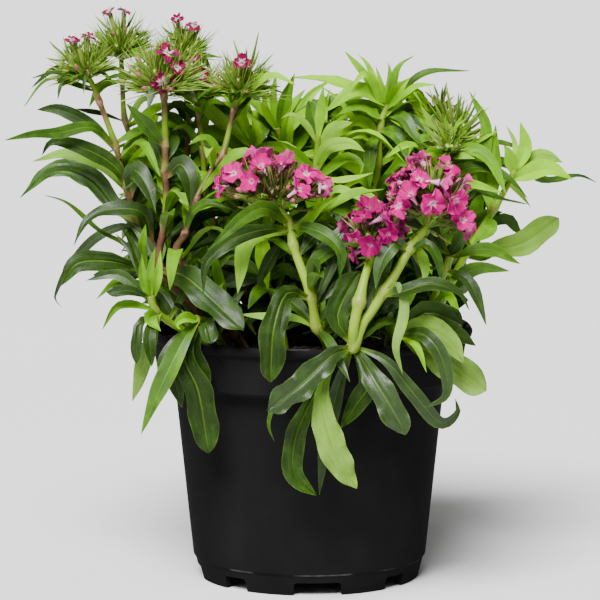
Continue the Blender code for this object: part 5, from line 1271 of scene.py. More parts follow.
def open_places(solids):
    """The places of the front view, inside the crowded part, where light shows through."""
    tree = joined(solids)
    found = []
    for low, high in zip(GAP_MASS, GAP_MASS[1:]):
        for h in np.arange(low[0], high[0], GAP_GRID):
            for x in np.arange(*mass_span((low, high), h), GAP_GRID):
                start = place(x, h, -180)
                if tree.ray_cast(start, (place(x, h, 180) - start).normalized())[0] is None:
                    found.append((float(x), float(h)))
    return found


def leaf_through(target, spots, width, kind, thicket, seen, chance):
    """A leaf from one of the nearest stem places that reaches past a target, or None."""
    tried = 0
    for name, spot in sorted(spots, key=lambda spot: (spot[1] - target).length):
        away = target - spot
        if not GAP_REACH[0] < away.length < GAP_REACH[1] or away.z < -12:
            continue
        tried += 1
        if tried > GAP_TRIES:
            return None
        for arch in (0.08, 0.2):
            middle = spot.lerp(target, 0.5) + UP * away.length * arch
            tip = target + away * chance.uniform(0.15, 0.4) - UP * away.length * arch
            leaf = clear_leaf([[spot, middle, target, tip]], width, chance.uniform(0.5, 1.0),
                              kind, thicket, seen)
            if leaf:
                return name, leaf
    return None


def gap_leaves(solids, thicket, seen, chance):
    """Leaves behind the others that close the crowded part against the light."""
    spots = [(name, spot) for name, stem in ALL_STEMS.items() for spot in stem_spots(stem, 7, 3)]
    leaves = []
    for narrow, wide in GAP_WIDTHS:
        covered = []
        for x, h in open_places(solids):
            if any(math.dist((x, h), other) < narrow * 0.6 for other in covered):
                continue
            kind = chance.choice(("mid", "old", "mid") if h > YOUNG_HEIGHT else ("old", "dark"))
            for depth in GAP_DEPTHS:
                target = place(x, h, depth + chance.uniform(-8, 8))
                found = leaf_through(target, spots, chance.uniform(narrow, wide), kind, thicket,
                                     seen, chance)
                if found:
                    leaves.append(found)
                    solids = solids + [blade_strip(found[1], 0.0, GAP_STRIP)]
                    covered.append((x, h))
                    break
    return leaves


def sideways(out):
    """A direction across another one."""
    return out.cross(Vector((0.3, 0.2, 1.0))).normalized()


def floret_plate(spot, out, size):
    """A flat stand-in for an open floret."""
    side = sideways(out) * size * 0.5
    other = out.cross(side)
    ring = [spot - side - other, spot + side - other, spot + side + other, spot - side + other]
    return ring, [(0, 1, 2, 3)]


def strap_leaves(root, axis, chance):
    """The many narrow leaves that fan out under the green head."""
    leaves = []
    for i in range(STRAP_COUNT):
        way = fan_direction(axis, (i + 0.5) / STRAP_COUNT * 0.7, i * GOLDEN_TURN)
        reach = chance.uniform(*STRAP_REACH)
        spots = [root + way * 1.5, root + way * reach * 0.55 + UP * chance.uniform(0, 2),
                 root + way * reach + lean(way, 1.0, chance) * 5.0]
        leaves.append((spots, chance.uniform(*STRAP_WIDTHS), STRAP_FACING,
                       chance.choice(STRAP_KINDS)))
    return leaves


def spread_leaves(root, chance):
    """The few narrow leaves that spread out close under a tight head."""
    turn = chance.uniform(0, 6.3)
    leaves = []
    for i in range(SKIRT_COUNT):
        out = level(turn + i * math.tau / SKIRT_COUNT + chance.uniform(-0.3, 0.3))
        reach = chance.uniform(*SKIRT_REACH)
        spots = [root - UP * 2.0, root + out * reach * 0.5 + UP * chance.uniform(1, 5),
                 root + out * reach + UP * chance.uniform(-10, 4)]
        leaves.append((spots, chance.uniform(*SKIRT_WIDTHS), SKIRT_FACING,
                       chance.choice(SKIRT_KINDS)))
    return leaves


def skirt_leaves(name, chance):
    """The narrow leaves under the tight heads of a stem."""
    leaves = []
    for head_name, head in HEADS.items():
        if head["stem"] == name and not head["open"]:
            root, axis = fan_root(head)
            leaves += (strap_leaves(root, axis, chance) if head_name == "green"
                       else spread_leaves(root, chance))
    return leaves


def stem_end(path, head):
    """The point where a stem stops, inside the foot of its head."""
    way = (head["core"][0] - path[-1]).normalized()
    core = BVHTree.FromPolygons(*core_points(*head["core"]))
    return core.ray_cast(path[-1], way)[0] + way * 1.5


def swelling(gaps, shift, width):
    """How strongly a stem swells at the given distances from its joints."""
    return max([math.exp(-((gap + shift) / width) ** 2) for gap in gaps] + [0.0])


def hash_share(name):
    """A share between 0 and 1 that is the same for a name in every run."""
    return sum(ord(letter) * (i + 3) for i, letter in enumerate(name)) % 97 / 97


def add_stem(shape, name, points, radii, swollen):
    """A stem with swollen joints, each with the short sheath of its pair of leaves."""
    length = path_length(points)
    rows = max(12, round(length / 2.2))
    spine = smooth_path(points, rows)
    runs = [path_length(points[:i + 1]) / length for i in range(len(points))]
    strength, green_height = BLUSHES.get(name, PLAIN_BLUSH)
    thick, blush, knot = [], [], []
    for i, point in enumerate(spine):
        t = i / (rows - 1)
        gaps = [(t - runs[j]) * length for j in swollen]
        near = swelling(gaps, JOINT_SHIFT, JOINT_WIDTH)
        sheath = swelling(gaps, SHEATH_SHIFT, SHEATH_WIDTH)
        swell = 1.06 + JOINT_SWELL * near + SHEATH_SWELL * sheath
        thick.append(float(np.interp(t, runs, radii)) * swell)
        fade = clamp((green_height - point.z) / 60)
        blush.append(strength * min(1.0, fade + swelling(gaps, BLUSH_SHIFT, BLUSH_WIDTH)))
        knot.append(near)
    tube(shape, spine, thick, 12, 1, along=np.linspace(0, 1, rows), blush=blush, knot=knot,
         lot=hash_share(name), pale=STEM_PALENESS_AND_PAINTED_LIGHT.get(name, 0.0))


def add_stems(shape, name, stem):
    """A stem's tube up to its head, and its side branch if it is forked."""
    path, branch = stem_path(stem), branch_path(stem)
    for head in HEADS.values():
        if head["stem"] == name:
            part = branch if head["on_branch"] else path
            part.append(head["core"][0] if head["open"] else stem_end(part, head))
    radii = [stem["radius"] * (1 - STEM_TAPER * i / len(path)) for i in range(len(path))]
    add_stem(shape, name, path, radii, [at + 2 for at in stem["joints"]])
    if branch:
        add_stem(shape, name, branch, BRANCH_RADII, [2])


def awl(shape, root, way, length, radius, bend, blush, chance, steps=5, sides=4):
    """A narrow pointed bract that bends towards one side."""
    shares = [i / steps for i in range(steps + 1)]
    points = [root + way * (length * t) + bend * (length * t * t) for t in shares]
    radii = [radius * (0.75 + 0.5 * t - 1.1 * t * t) + 0.06 for t in shares]
    tube(shape, points, radii, sides, 0, pointed=True, along=np.linspace(0, 1, steps + 1),
         blush=blush, lot=chance.random())


def calyx(shape, stalk, foot, mouth, radius, blush, chance, thin=0.4):
    """The tube under a floret, from its thin stalk to its five-toothed mouth."""
    spine = smooth_path(stalk + [foot, foot.lerp(mouth, 0.5), mouth], 9)
    tube(shape, spine, [radius * share for share in (thin, thin) + CALYX_PROFILE], 8, 0,
         along=np.linspace(0, 1, 9), blush=np.array(CALYX_BLUSH) * blush, lot=chance.random())
    way = (spine[-1] - spine[-2]).normalized()
    side = way.cross(Vector((0.31, 0.2, 0.93))).normalized()
    other = way.cross(side)
    for i in range(5):
        turn = i * math.tau / 5 + chance.uniform(-0.2, 0.2)
        out = side * math.cos(turn) + other * math.sin(turn)
        awl(shape, spine[-1] + out * radius * 0.75 - way * 0.8, way, 3.4, radius * 0.42,
            out * 0.2, blush, chance, 2, 3)


def bud(shape, root, way, length, radius, chance):
    """The furled tip of petals in a calyx mouth."""
    points = [root + way * (length * t) for t in BUD_STEPS]
    tube(shape, points, [radius * share for share in BUD_PROFILE], 7, 1, pointed=True,
         along=BUD_STEPS, lot=chance.random())


def floret_spots(head, chance):
    """A head's florets as their places, outward directions, diameters and turns."""
    spots = [(x, h, size, False) for x, h, size in head["florets"]]
    spots += [(2 * head["dome"][0][0] - x, h, size, True)
              for x, h, size in head["florets"][:head["repeated"]]]
    return [(*dome_place(head, x, h, far), size, chance.uniform(0, 1.2))
            for x, h, size, far in spots]


def bract_spots(owner, head, chance):
    """The roots, directions and lengths of a head's pointed bracts."""
    count, shortest, longest, _, rise = head["bracts"]
    middle, half = head["core"]
    corners = node_corners(owner)
    found = []
    for i in range(count):
        lift = 1 - 1.75 * (i + 0.5) / count
        spot = sphere_spot(lift, i * GOLDEN_TURN + chance.uniform(-0.15, 0.15))
        root = middle + Vector([spot[k] * half[k] * 0.8 for k in range(3)])
        way = (spot + UP * rise).normalized()
        length = chance.uniform(shortest, longest) + max(half) * 0.2
        for share in BRACT_SHARES:
            tip = root + way * length * share + UP * length * share * 0.12
            if corners.find(tip)[2] < TIP_MATCH:
                found.append((root, way, length * share))
                break
    return found


def dome_point(head, direction, share):
    """A point inside a head's dome, in a direction from its middle."""
    middle, (wide, deep, tall) = head["dome"]
    reach = Vector((direction.x * wide, direction.y * deep, direction.z * tall))
    return place(*middle) + reach * share


def sky_direction(i, count, lowest):
    """One of evenly spread directions, from straight up down to a lowest lift."""
    return sphere_spot(1 - (1 - lowest) * (i + 0.5) / count, i * GOLDEN_TURN)


def extra_florets(head, spots, chance):
    """Florets on the far side of a dome, where the given ones leave room."""
    found = []
    for i in range(60):
        way = sky_direction(i, 60, -0.15)
        if way.y < 0.1:
            continue
        spot, size = dome_point(head, way, 0.98), chance.uniform(13.5, 17)
        if all((spot - other[0]).length > FLORET_GAP for other in spots + found):
            found.append((spot, lean(way, 0.15, chance), size, chance.uniform(0, 1.2)))
    return found


def floret_calyx(shape, head, spot, out, blush, chance):
    """The stalk and calyx that carry a floret, from the head's core to under its petals."""
    core = head["core"][0]
    mouth = spot - out * 5.0
    back = (core - mouth).normalized() * 0.45 - out * 0.55
    length = min(CALYX_LENGTH, (core - mouth).length * 0.8)
    foot = mouth + back.normalized() * length
    calyx(shape, [core, foot.lerp(core, 0.5)], foot, mouth, FLORET_CALYX, blush, chance, 0.5)
    for _ in range(3):
        way = lean((mouth - foot).normalized(), 0.45, chance)
        awl(shape, foot, way, chance.uniform(9, 15), 0.55, UP * chance.uniform(-0.1, 0.3),
            blush * chance.uniform(0.4, 1.0), chance)


def crowd_calyx(shape, head, way, chance):
    """One of the calyxes between the florets, with its bracts and perhaps its bud."""
    core = head["core"][0]
    mouth = dome_point(head, way, chance.uniform(0.62, 0.86))
    aim = (mouth - core).normalized()
    length = min(CALYX_LENGTH * 0.85, (mouth - core).length * 0.8)
    foot = mouth - (aim * 0.6 + way * 0.4).normalized() * length
    blush = chance.uniform(0.7, 1.0) if chance.random() < 0.8 else chance.uniform(0.0, 0.4)
    calyx(shape, [core, core.lerp(foot, 0.6)], foot, mouth, CROWD_CALYX, blush, chance)
    up = (mouth - foot).normalized()
    if chance.random() < 0.25:
        bud(shape, mouth - aim * 1.0, up, chance.uniform(3, 6), chance.uniform(1.2, 1.9), chance)
    for _ in range(3):
        awl(shape, foot, lean(up, 0.6, chance), chance.uniform(10, 19), 0.42,
            UP * chance.uniform(-0.15, 0.35), blush * chance.uniform(0.5, 1.0), chance, 4, 3)


def open_head(shape, name, head, spots, chance):
    """The crowded calyxes, bracts and buds under and between the open florets."""
    for spot, out, *_ in spots:
        floret_calyx(shape, head, spot, out, chance.uniform(0.75, 1.0), chance)
    count = OPEN_CROWDS[name]
    for i in range(count):
        crowd_calyx(shape, head, lean(sky_direction(i, count, -0.3), 0.15, chance), chance)


def fan_root(head):
    """Where the stalks of a tight head part, and the direction that its fan faces."""
    core = head["core"][0]
    last = place(*ALL_STEMS[head["stem"]]["places"][-1])
    axis = (core - last).normalized()
    drop = min(FAN_DROP, (core - last).length * 0.8)
    return core - axis * drop, (axis + UP * 0.6).normalized()


def fan_direction(axis, share, turn):
    """A direction in a wide fan round an axis, from its middle at share 0 to its edge at 1."""
    side = axis.cross(Vector((0.2, 1.0, 0.1))).normalized()
    other = axis.cross(side)
    angle = FAN_SPREAD * math.sqrt(share)
    return (axis * math.cos(angle) + (side * math.cos(turn) + other * math.sin(turn))
            * math.sin(angle))


def fan_bracts(shape, name, root, way, foot, reach, style, chance):
    """The long thin bracts round one calyx of a fan."""
    count, leaning, bending = style
    for _ in range(count):
        side = lean(way, leaning, chance)
        start = root.lerp(foot, chance.uniform(0.5, 1.1))
        length = (reach - (start - root).length) * chance.uniform(0.75, 1.15)
        aside = lean(UP * 0.5, 1.0, chance) * bending
        awl(shape, start, side, length, chance.uniform(0.26, 0.42), aside,
            chance.choice(FAN_BLUSHES.get(name, PLAIN_FAN[3])), chance, 4, 3)


def bristle_head(shape, name, head, spots, chance):
    """A tight head of green calyxes among long thin bracts, fanned out from its stem."""
    root, axis = fan_root(head)
    blooming = bool(head["florets"])
    size, count, blushes, _ = PLAIN_FAN
    reach = (head["core"][0] - root).length
    reach += max(head["core"][1]) * FAN_SIZES.get(name, size)
    for spot, out, *_ in spots:
        mouth = spot - out * 3.0
        calyx(shape, [root], root.lerp(mouth, 0.45), mouth, BLOOM_CALYX, 0.35, chance)
    count = FAN_COUNTS.get(name, count)
    for i in range(count):
        share = (i + 0.5) / count
        way = lean(fan_direction(axis, share, i * GOLDEN_TURN), 0.10, chance)
        far = reach * chance.uniform(0.60, 0.84) * (1 - 0.22 * share)
        foot = root + way * far * chance.uniform(0.30, 0.48)
        mouth = root + way * far
        blush = chance.choice(FAN_BLUSHES.get(name, blushes))
        calyx(shape, [root], foot, mouth, FAN_CALYX, blush, chance)
        if chance.random() < 0.13 and blooming:
            bud(shape, mouth - way * 0.8, way, chance.uniform(2.5, 5.0), 1.3, chance)
        fan_bracts(shape, name, root, way, foot, reach,
                   BLOOMING_BRACTS if blooming else CLOSED_BRACTS, chance)


def add_core(shape, head):
    """The rounded knot that the stalks of a head come from."""
    core, half = head["core"]
    points = [core + UP * half[2] * (t * 1.1 - 0.75) for t in (0, 0.2, 0.4, 0.6, 0.8, 1.0)]
    width = (half[0] + half[1]) / 2 * (0.24 if head["open"] else 0.5)
    radii = [width * share for share in (0.4, 0.75, 1.0, 0.95, 0.7, 0.3)]
    tube(shape, points, radii, 12, 0, along=np.linspace(0, 1, 6), blush=0.2, lot=0.5)


def strip_caps(rows, columns):
    """The faces that close the two ends of a thin sheet whose rings go over and under it."""
    ring = 2 * columns - 2
    faces = []
    for first, order in ((0, -1), ((rows - 1) * ring, 1)):
        for k in range(columns - 1):
            c = first + (ring - k - 1 if k < columns - 2 else columns - 1)
            d = first + (ring - k if k else 0)
            face = tuple(dict.fromkeys((first + k, first + k + 1, c, d)))
            faces.append(face[::order])
    return faces


def petal(shape, centre, out, away, radius, breadth, tone, openness, chance):
    """One petal: a thin fan on a narrow claw, with a finely toothed rim."""
    aside = out.cross(away)
    phase = chance.uniform(0, 6.3)
    u = np.linspace(-1, 1, PETAL_COLUMNS)
    v = (np.linspace(0, 1, PETAL_ROWS) ** 0.85)[:, None]
    radius = radius * chance.uniform(0.90, 1.06)
    teeth = 0.028 * np.where(np.arange(PETAL_COLUMNS) % 2 == 0, 1, -1)
    rim = radius * (1 - 0.34 * np.abs(u) ** 2.4 + teeth)
    start = 0.08 * radius
    reach = start + (rim - start) * v
    swell = 0.14 + 0.86 * np.sin(np.pi / 2 * np.clip(v / 0.72, 0, 1)) ** 1.2
    x = u * radius * breadth * swell * (1 - 0.13 * np.clip((v - 0.78) / 0.22, 0, 1) ** 2)
    share = reach / radius
    tilt = chance.uniform(-0.22, 0.32)
    lift = (openness + chance.uniform(-0.25, 0.30)) * reach
    lift = lift - chance.uniform(0.05, 0.36) * radius * share ** 2.4
    lift = lift + tilt * x + 0.08 * radius * np.sin(u * 5.5 + phase) * v ** 2
    lift = lift + chance.uniform(-0.25, 0.42) * radius * u ** 2 * v
    lift = lift - 0.09 * radius * np.exp(-(u / 0.3) ** 2) * np.sin(np.pi * v * 0.8)
    ring = np.concatenate([np.arange(PETAL_COLUMNS), np.arange(PETAL_COLUMNS - 2, 0, -1)])
    below = (np.arange(len(ring)) >= PETAL_COLUMNS).astype(float)
    depth = lift[:, ring] - below * PETAL_THICKNESS
    corners = (np.array(centre) + reach[:, ring, None] * np.array(away)
               + x[:, ring, None] * np.array(aside) + depth[..., None] * np.array(out))
    faces = sheet_faces(PETAL_ROWS, len(ring), PETAL_COLUMNS)[:-2]
    faces += strip_caps(PETAL_ROWS, PETAL_COLUMNS)
    shape.add(corners.reshape(-1, 3), faces, 0, reach=share[:, ring].ravel(),
              side=np.broadcast_to(u[ring], depth.shape).ravel(),
              under=np.broadcast_to(below, depth.shape).ravel(), tone=tone,
              lot=chance.random())


def floret(shape, centre, out, diameter, turn, breadth, chance):
    """Five petals over a pale trumpet, with two curled styles."""
    side = sideways(out)
    other = out.cross(side)
    radius = diameter / 2
    openness = chance.choice(PETAL_TILTS) + chance.uniform(-0.08, 0.08)
    tone = chance.random()
    for i in range(5):
        angle = turn + i * math.tau / 5 + chance.uniform(-0.14, 0.14)
        away = side * math.cos(angle) + other * math.sin(angle)
        petal(shape, centre + out * (0.12 * i), out, away, radius, breadth, tone, openness, chance)
    depths, widths, reaches = zip(*TRUMPET)
    tube(shape, [centre + out * depth * radius / 8 for depth in depths],
         [radius * share for share in widths], 10, 0, reach=reaches, side=0.0, under=0.0,
         tone=tone, lot=0.5)
    for i in range(2):
        way = lean(out, 0.35, chance)
        points = [centre + way * (radius * t) for t in (0, 0.15, 0.28, 0.36)]
        tube(shape, points, (0.22, 0.2, 0.16, 0.08), 4, 0, reach=0.05, side=0.0, under=0.0,
             tone=tone, lot=0.5)


def turned(profile, sides):
    """A solid of revolution whose profile starts and ends on the axis."""
    turns = np.arange(sides) * 2 * np.pi / sides
    rings = [np.stack([r * np.cos(turns), r * np.sin(turns), np.full(sides, z)], -1)
             for r, z in profile[1:-1]]
    ends = [[[0.0, 0.0, profile[end][1]]] for end in (0, -1)]
    corners = np.concatenate(ends[:1] + rings + ends[1:])
    faces = [(0, 1 + (j + 1) % sides, 1 + j) for j in range(sides)]
    for i in range(len(rings) - 1):
        a = 1 + i * sides
        for j in range(sides):
            n = (j + 1) % sides
            faces.append((a + j, a + n, a + sides + n, a + sides + j))
    last = 1 + (len(rings) - 1) * sides
    faces += [(last + j, last + (j + 1) % sides, len(corners) - 1) for j in range(sides)]
    return corners, faces


def rounded(profile, radius):
    """A profile whose inner corners are rounded off."""
    out = [profile[0]]
    for before, spot, after in zip(profile, profile[1:], profile[2:]):
        spot = np.array(spot)
        a, b = np.array(before) - spot, np.array(after) - spot
        cut = min(radius, np.linalg.norm(a) * 0.4, np.linalg.norm(b) * 0.4)
        first, last = spot + a / np.linalg.norm(a) * cut, spot + b / np.linalg.norm(b) * cut
        for t in (0, 0.33, 0.67, 1):
            out.append(tuple((first * (1 - t) ** 2 + spot * 2 * t * (1 - t) + last * t * t)))
    return out + [profile[-1]]


def spaced(profile, step):
    """A profile with further points on its long stretches."""
    out = [profile[0]]
    for a, b in zip(profile, profile[1:]):
        count = max(1, round(math.dist(a, b) / step))
        out += [tuple(np.array(a) + (np.array(b) - np.array(a)) * (k + 1) / count)
                for k in range(count)]
    return out


def inner_wall(clear):
    """The pot's inner wall from its floor up, moved in by a clearance."""
    inset = POT_WALL + clear
    return [(SHOULDER[0] - inset - 0.4, BASE_UNDERSIDE + BASE_THICKNESS + clear),
            (SHOULDER[0] - inset, SHOULDER[1] + 1.5),
            (STEP[0] - inset, STEP[1] + 1.0 + clear),
            (BAND_FOOT[0] - inset - 0.4, BAND_FOOT[1] + POT_WALL + clear),
            (BAND_TOP[0] - inset, BAND_TOP[1])]


def pot_profile():
    """The pot's section, from the middle of its underside round to the middle of its floor."""
    outer = [(FOOT_RADIUS - FOOT_WALL, BASE_UNDERSIDE), (FOOT_RADIUS - FOOT_WALL, 0.0),
             (FOOT_RADIUS, 0.0), FOOT_TOP, SHOULDER, STEP, BAND_FOOT, BAND_TOP, *LIP]
    whole = rounded(outer + inner_wall(0.0)[::-1], POT_ROUNDING)
    floor = [(0.0, BASE_UNDERSIDE + BASE_THICKNESS)]
    return [(0.0, BASE_UNDERSIDE)] + spaced(whole, 12.0) + floor


def slot_cutter(turn, half):
    """The arched solid that cuts a drainage slot out of the foot ring."""
    out = level(turn)
    side = Vector((-out.y, out.x, 0.0))
    rise = [(half * 0.96, SLOT_HEIGHT - 1.4), (half * 0.93, SLOT_HEIGHT - 0.5),
            (half * 0.84, SLOT_HEIGHT)]
    arch = [(-half, -1.0), (half, -1.0)] + rise + [(-a, z) for a, z in rise[::-1]]
    near, far = [[out * (FOOT_RADIUS + reach) + side * a + UP * z for a, z in arch]
                 for reach in SLOT_REACH]
    count = len(arch)
    faces = [tuple(reversed(range(count))), tuple(range(count, 2 * count))]
    faces += [(j, (j + 1) % count, count + (j + 1) % count, count + j) for j in range(count)]
    return arrays(near + far), faces


def drain_cutter(turn):
    """The round solid that cuts a drainage hole out of the pot's base."""
    spot = level(turn) * DRAIN_HOLE_RING
    hole = Shape()
    ends = [spot + UP * (BASE_UNDERSIDE + shift) for shift in (-2, 4)]
    tube(hole, ends, (DRAIN_HOLE_RADIUS, DRAIN_HOLE_RADIUS), 24)
    return hole.corners[0], hole.faces


def pot_cutters():
    """The cutters of the slots, wide and narrow in turn, and of the holes."""
    slots = [slot_cutter(SLOT_TURN + 2 * math.pi * i / SLOT_COUNT,
                         (WIDE_SLOT, NARROW_SLOT)[i % 2] / 2) for i in range(SLOT_COUNT)]
    return slots + [drain_cutter(SLOT_TURN + math.pi / 4 + i * math.tau / DRAIN_HOLE_COUNT)
                    for i in range(DRAIN_HOLE_COUNT)]


def cut_out(thing, cutters):
    """Cut solids out of an object."""
    group = bpy.data.collections.new("cutters")
    for corners, faces in cutters:
        cutter = Shape()
        cutter.add(corners, faces)
        solid = cutter.piece("cutter", [])
        bpy.context.scene.collection.objects.unlink(solid)
        group.objects.link(solid)
    bpy.context.scene.collection.children.link(group)
    cut = thing.modifiers.new("cut", "BOOLEAN")
    cut.operation = "DIFFERENCE"
    cut.operand_type = "COLLECTION"
    cut.collection = group
    cut.solver = "EXACT"
    view = bpy.context.evaluated_depsgraph_get()
    mesh = bpy.data.meshes.new_from_object(thing.evaluated_get(view))
    thing.modifiers.clear()
    thing.data = mesh
    for solid in list(group.objects):
        bpy.data.objects.remove(solid, do_unlink=True)
    bpy.data.collections.remove(group)


def make_pot():
    shape = Shape()
    shape.add(*turned(pot_profile(), POT_SIDES))
    pot = shape.piece("pot_fine", [pot_material()], POT_CREASE)
    cut_out(pot, pot_cutters())
    pot.data.set_sharp_from_angle(angle=math.radians(POT_CREASE))
    dress(pot, "pot")


def add_crumbs(shape, rim):
    """Loose crumbs that lie on the peat."""
    chance = random.Random(SOIL_SEED)
    for _ in range(CRUMB_COUNT):
        turn, reach = chance.uniform(0, math.tau), (rim - 4) * math.sqrt(chance.random())
        size = chance.uniform(*CRUMB_SIZES)
        spot = Vector((reach * math.cos(turn), reach * math.sin(turn), SOIL_HEIGHT + 0.2))
        scale, height = SOIL_LUMPS[0]
        spot.z += noise.noise(spot * scale) * height + size * 0.3
        verts, faces = core_points(spot, [size * chance.uniform(0.6, 1.2) for _ in range(3)])
        shape.add(arrays([v + random_spot(chance, 0.25) * size for v in verts]), faces)


def make_soil():
    """Peat whose crumbly top is modelled, in the pot's filling."""
    wall = inner_wall(SOIL_GAP)[:-1]
    share = (SOIL_HEIGHT - wall[-1][1]) / (BAND_TOP[1] - wall[-1][1])
    rim = wall[-1][0] + (BAND_TOP[0] - POT_WALL - SOIL_GAP - wall[-1][0]) * share
    top = [(rim * (1 - k / SOIL_RINGS), SOIL_HEIGHT - 0.8) for k in range(SOIL_RINGS)]
    profile = [(0.0, wall[0][1])] + wall + top + [(0.0, SOIL_HEIGHT)]
    corners, faces = turned(profile, SOIL_SIDES)
    for corner in corners:
        if corner[2] > SOIL_HEIGHT - 1.0 and math.hypot(corner[0], corner[1]) < rim - 0.5:
            spot = Vector(corner)
            lumps = [noise.noise(spot * scale) * height for scale, height in SOIL_LUMPS]
            corner[2] += sum(lumps) + 0.6
    shape = Shape()
    shape.add(corners, faces)
    add_crumbs(shape, rim)
    dress(shape.piece("soil_fine", [soil_material()], SOIL_CREASE), "soil")


class Finish:
    """A material and the nodes that feed its shader."""

    def __init__(self, name):
        self.material = bpy.data.materials.new(name)
        self.material.use_nodes = True
        self.tree = self.material.node_tree
        self.shader = self.tree.nodes["Principled BSDF"]

    def node(self, kind, inputs=(), **settings):
        made = self.tree.nodes.new("ShaderNode" + kind)
        for name, value in settings.items():
            setattr(made, name, value)
        for key, value in dict(inputs).items():
            self.feed(made.inputs[key], value)
        return made

    def feed(self, socket, value):
        if isinstance(value, bpy.types.NodeSocket):
            self.tree.links.new(value, socket)
        elif np.ndim(value) and len(value) == 3 and socket.type == "RGBA":
            socket.default_value = (*value, 1.0)
        else:
            socket.default_value = value

    def mark(self, name):
        return self.node("Attribute", attribute_name=name).outputs["Fac"]

    def place(self):
        return self.node("TexCoord").outputs["Object"]

    def noise(self, scale, detail=3.0, place=None):
        inputs = {"Scale": scale, "Detail": detail, "Roughness": NOISE_ROUGHNESS,
                  "Vector": place or self.place()}
        return self.node("TexNoise", inputs).outputs["Fac"]

    def maths(self, operation, a, b=0.0, clamp=False):
        made = self.node("Math", {0: a, 1: b}, operation=operation, use_clamp=clamp)
        return made.outputs[0]

    def plus(self, a, b, clamp=False):
        return self.maths("ADD", a, b, clamp)

    def times(self, a, b):
        return self.maths("MULTIPLY", a, b)

    def span(self, value, low, high, to_low=0.0, to_high=1.0):
        inputs = {"Value": value, "From Min": low, "From Max": high, "To Min": to_low,
                  "To Max": to_high}
        return self.node("MapRange", inputs).outputs[0]

    def vary(self, value, low, high):
        """The middle part of a noise, spread from low to high."""
        return self.span(value, 0.3, 0.7, low, high)

    def joint(self, x, y, z=0.0):
        return self.node("CombineXYZ", {0: x, 1: y, 2: z}).outputs[0]

    def ramp(self, value, stops):
        made = self.node("ValToRGB", {0: value})
        ends = made.color_ramp.elements
        while len(ends) < len(stops):
            ends.new(0.5)
        for end, (position, colour) in zip(ends, stops):
            end.position = position
            end.color = (*colour, 1.0)
        return made.outputs[0]

    def mix(self, share, a, b):
        made = self.node("Mix", {0: share}, data_type="RGBA")
        self.feed(made.inputs[6], a)
        self.feed(made.inputs[7], b)
        return made.outputs[2]

    def veil(self, share, colour, strength, other):
        """A colour with, where share says so, some of another one in it."""
        return self.mix(share, colour, self.mix(strength, colour, other))

    def bump(self, height, strength, distance):
        inputs = {"Height": height, "Strength": strength, "Distance": distance}
        return self.node("Bump", inputs).outputs[0]

    def set(self, **values):
        for name, value in values.items():
            self.feed(self.shader.inputs[name.replace("_", " ")], value)
        return self.material


def leaf_top(f, aged_and_shaded, across, streaks, pebbles, rib):
    """The colour of a blade's upper side, with its veins, its rib, its edge and its foot."""
    lot, along = f.mark("lot"), f.mark("along")
    fresh = f.times(f.span(lot, 0.5, 1.0, 0.0, 0.2), f.maths("SUBTRACT", 1.0, aged_and_shaded, True))
    colour = f.mix(fresh, f.ramp(aged_and_shaded, LEAF_AGES), LEAF_WARM)
    colour = f.veil(f.span(lot, 0.0, 0.5, 0.30, 0.0), colour, 0.5, LEAF_COOL)
    colour = f.veil(f.span(streaks, 0.35, 0.7, 0.0, 0.22), colour, 0.25, LEAF_STREAK)
    colour = f.veil(f.span(pebbles, 0.35, 0.65, 0.0, 0.5), colour, 0.10, LEAF_PEBBLE)
    colour = f.veil(f.times(rib, f.ramp(along, RIB_FADE)), colour, 0.7, LEAF_RIB)
    colour = f.mix(f.span(across, 0.95, 1.0, 0.0, 0.16), colour, LEAF_EDGE)
    foot = f.mix(f.times(f.mark("blush"), 0.7), LEAF_FOOT, LEAF_BLUSH)
    return f.mix(f.span(along, 0.0, 0.14, 0.85, 0.0), colour, foot)


def leaf_underside(f, top, streaks, rib):
    """The colour of a blade's paler, netted underside."""
    net = f.node("TexVoronoi", {"Scale": 620.0, "Vector": f.place()},
                 feature="DISTANCE_TO_EDGE").outputs["Distance"]
    shade = f.span(f.noise(55.0), 0.35, 0.65, -0.24, 0.10)
    shade = f.plus(shade, f.vary(streaks, -0.07, 0.07))
    paleness = f.plus(shade, f.span(net, 0.0, 0.14, 0.47, 0.57))
    paleness = f.times(paleness, f.span(f.mark("along"), 0.12, 0.48, 0.45, 1.0))
    return f.mix(f.times(rib, 0.9), f.mix(paleness, top, LEAF_UNDER), LEAF_UNDER_RIB)


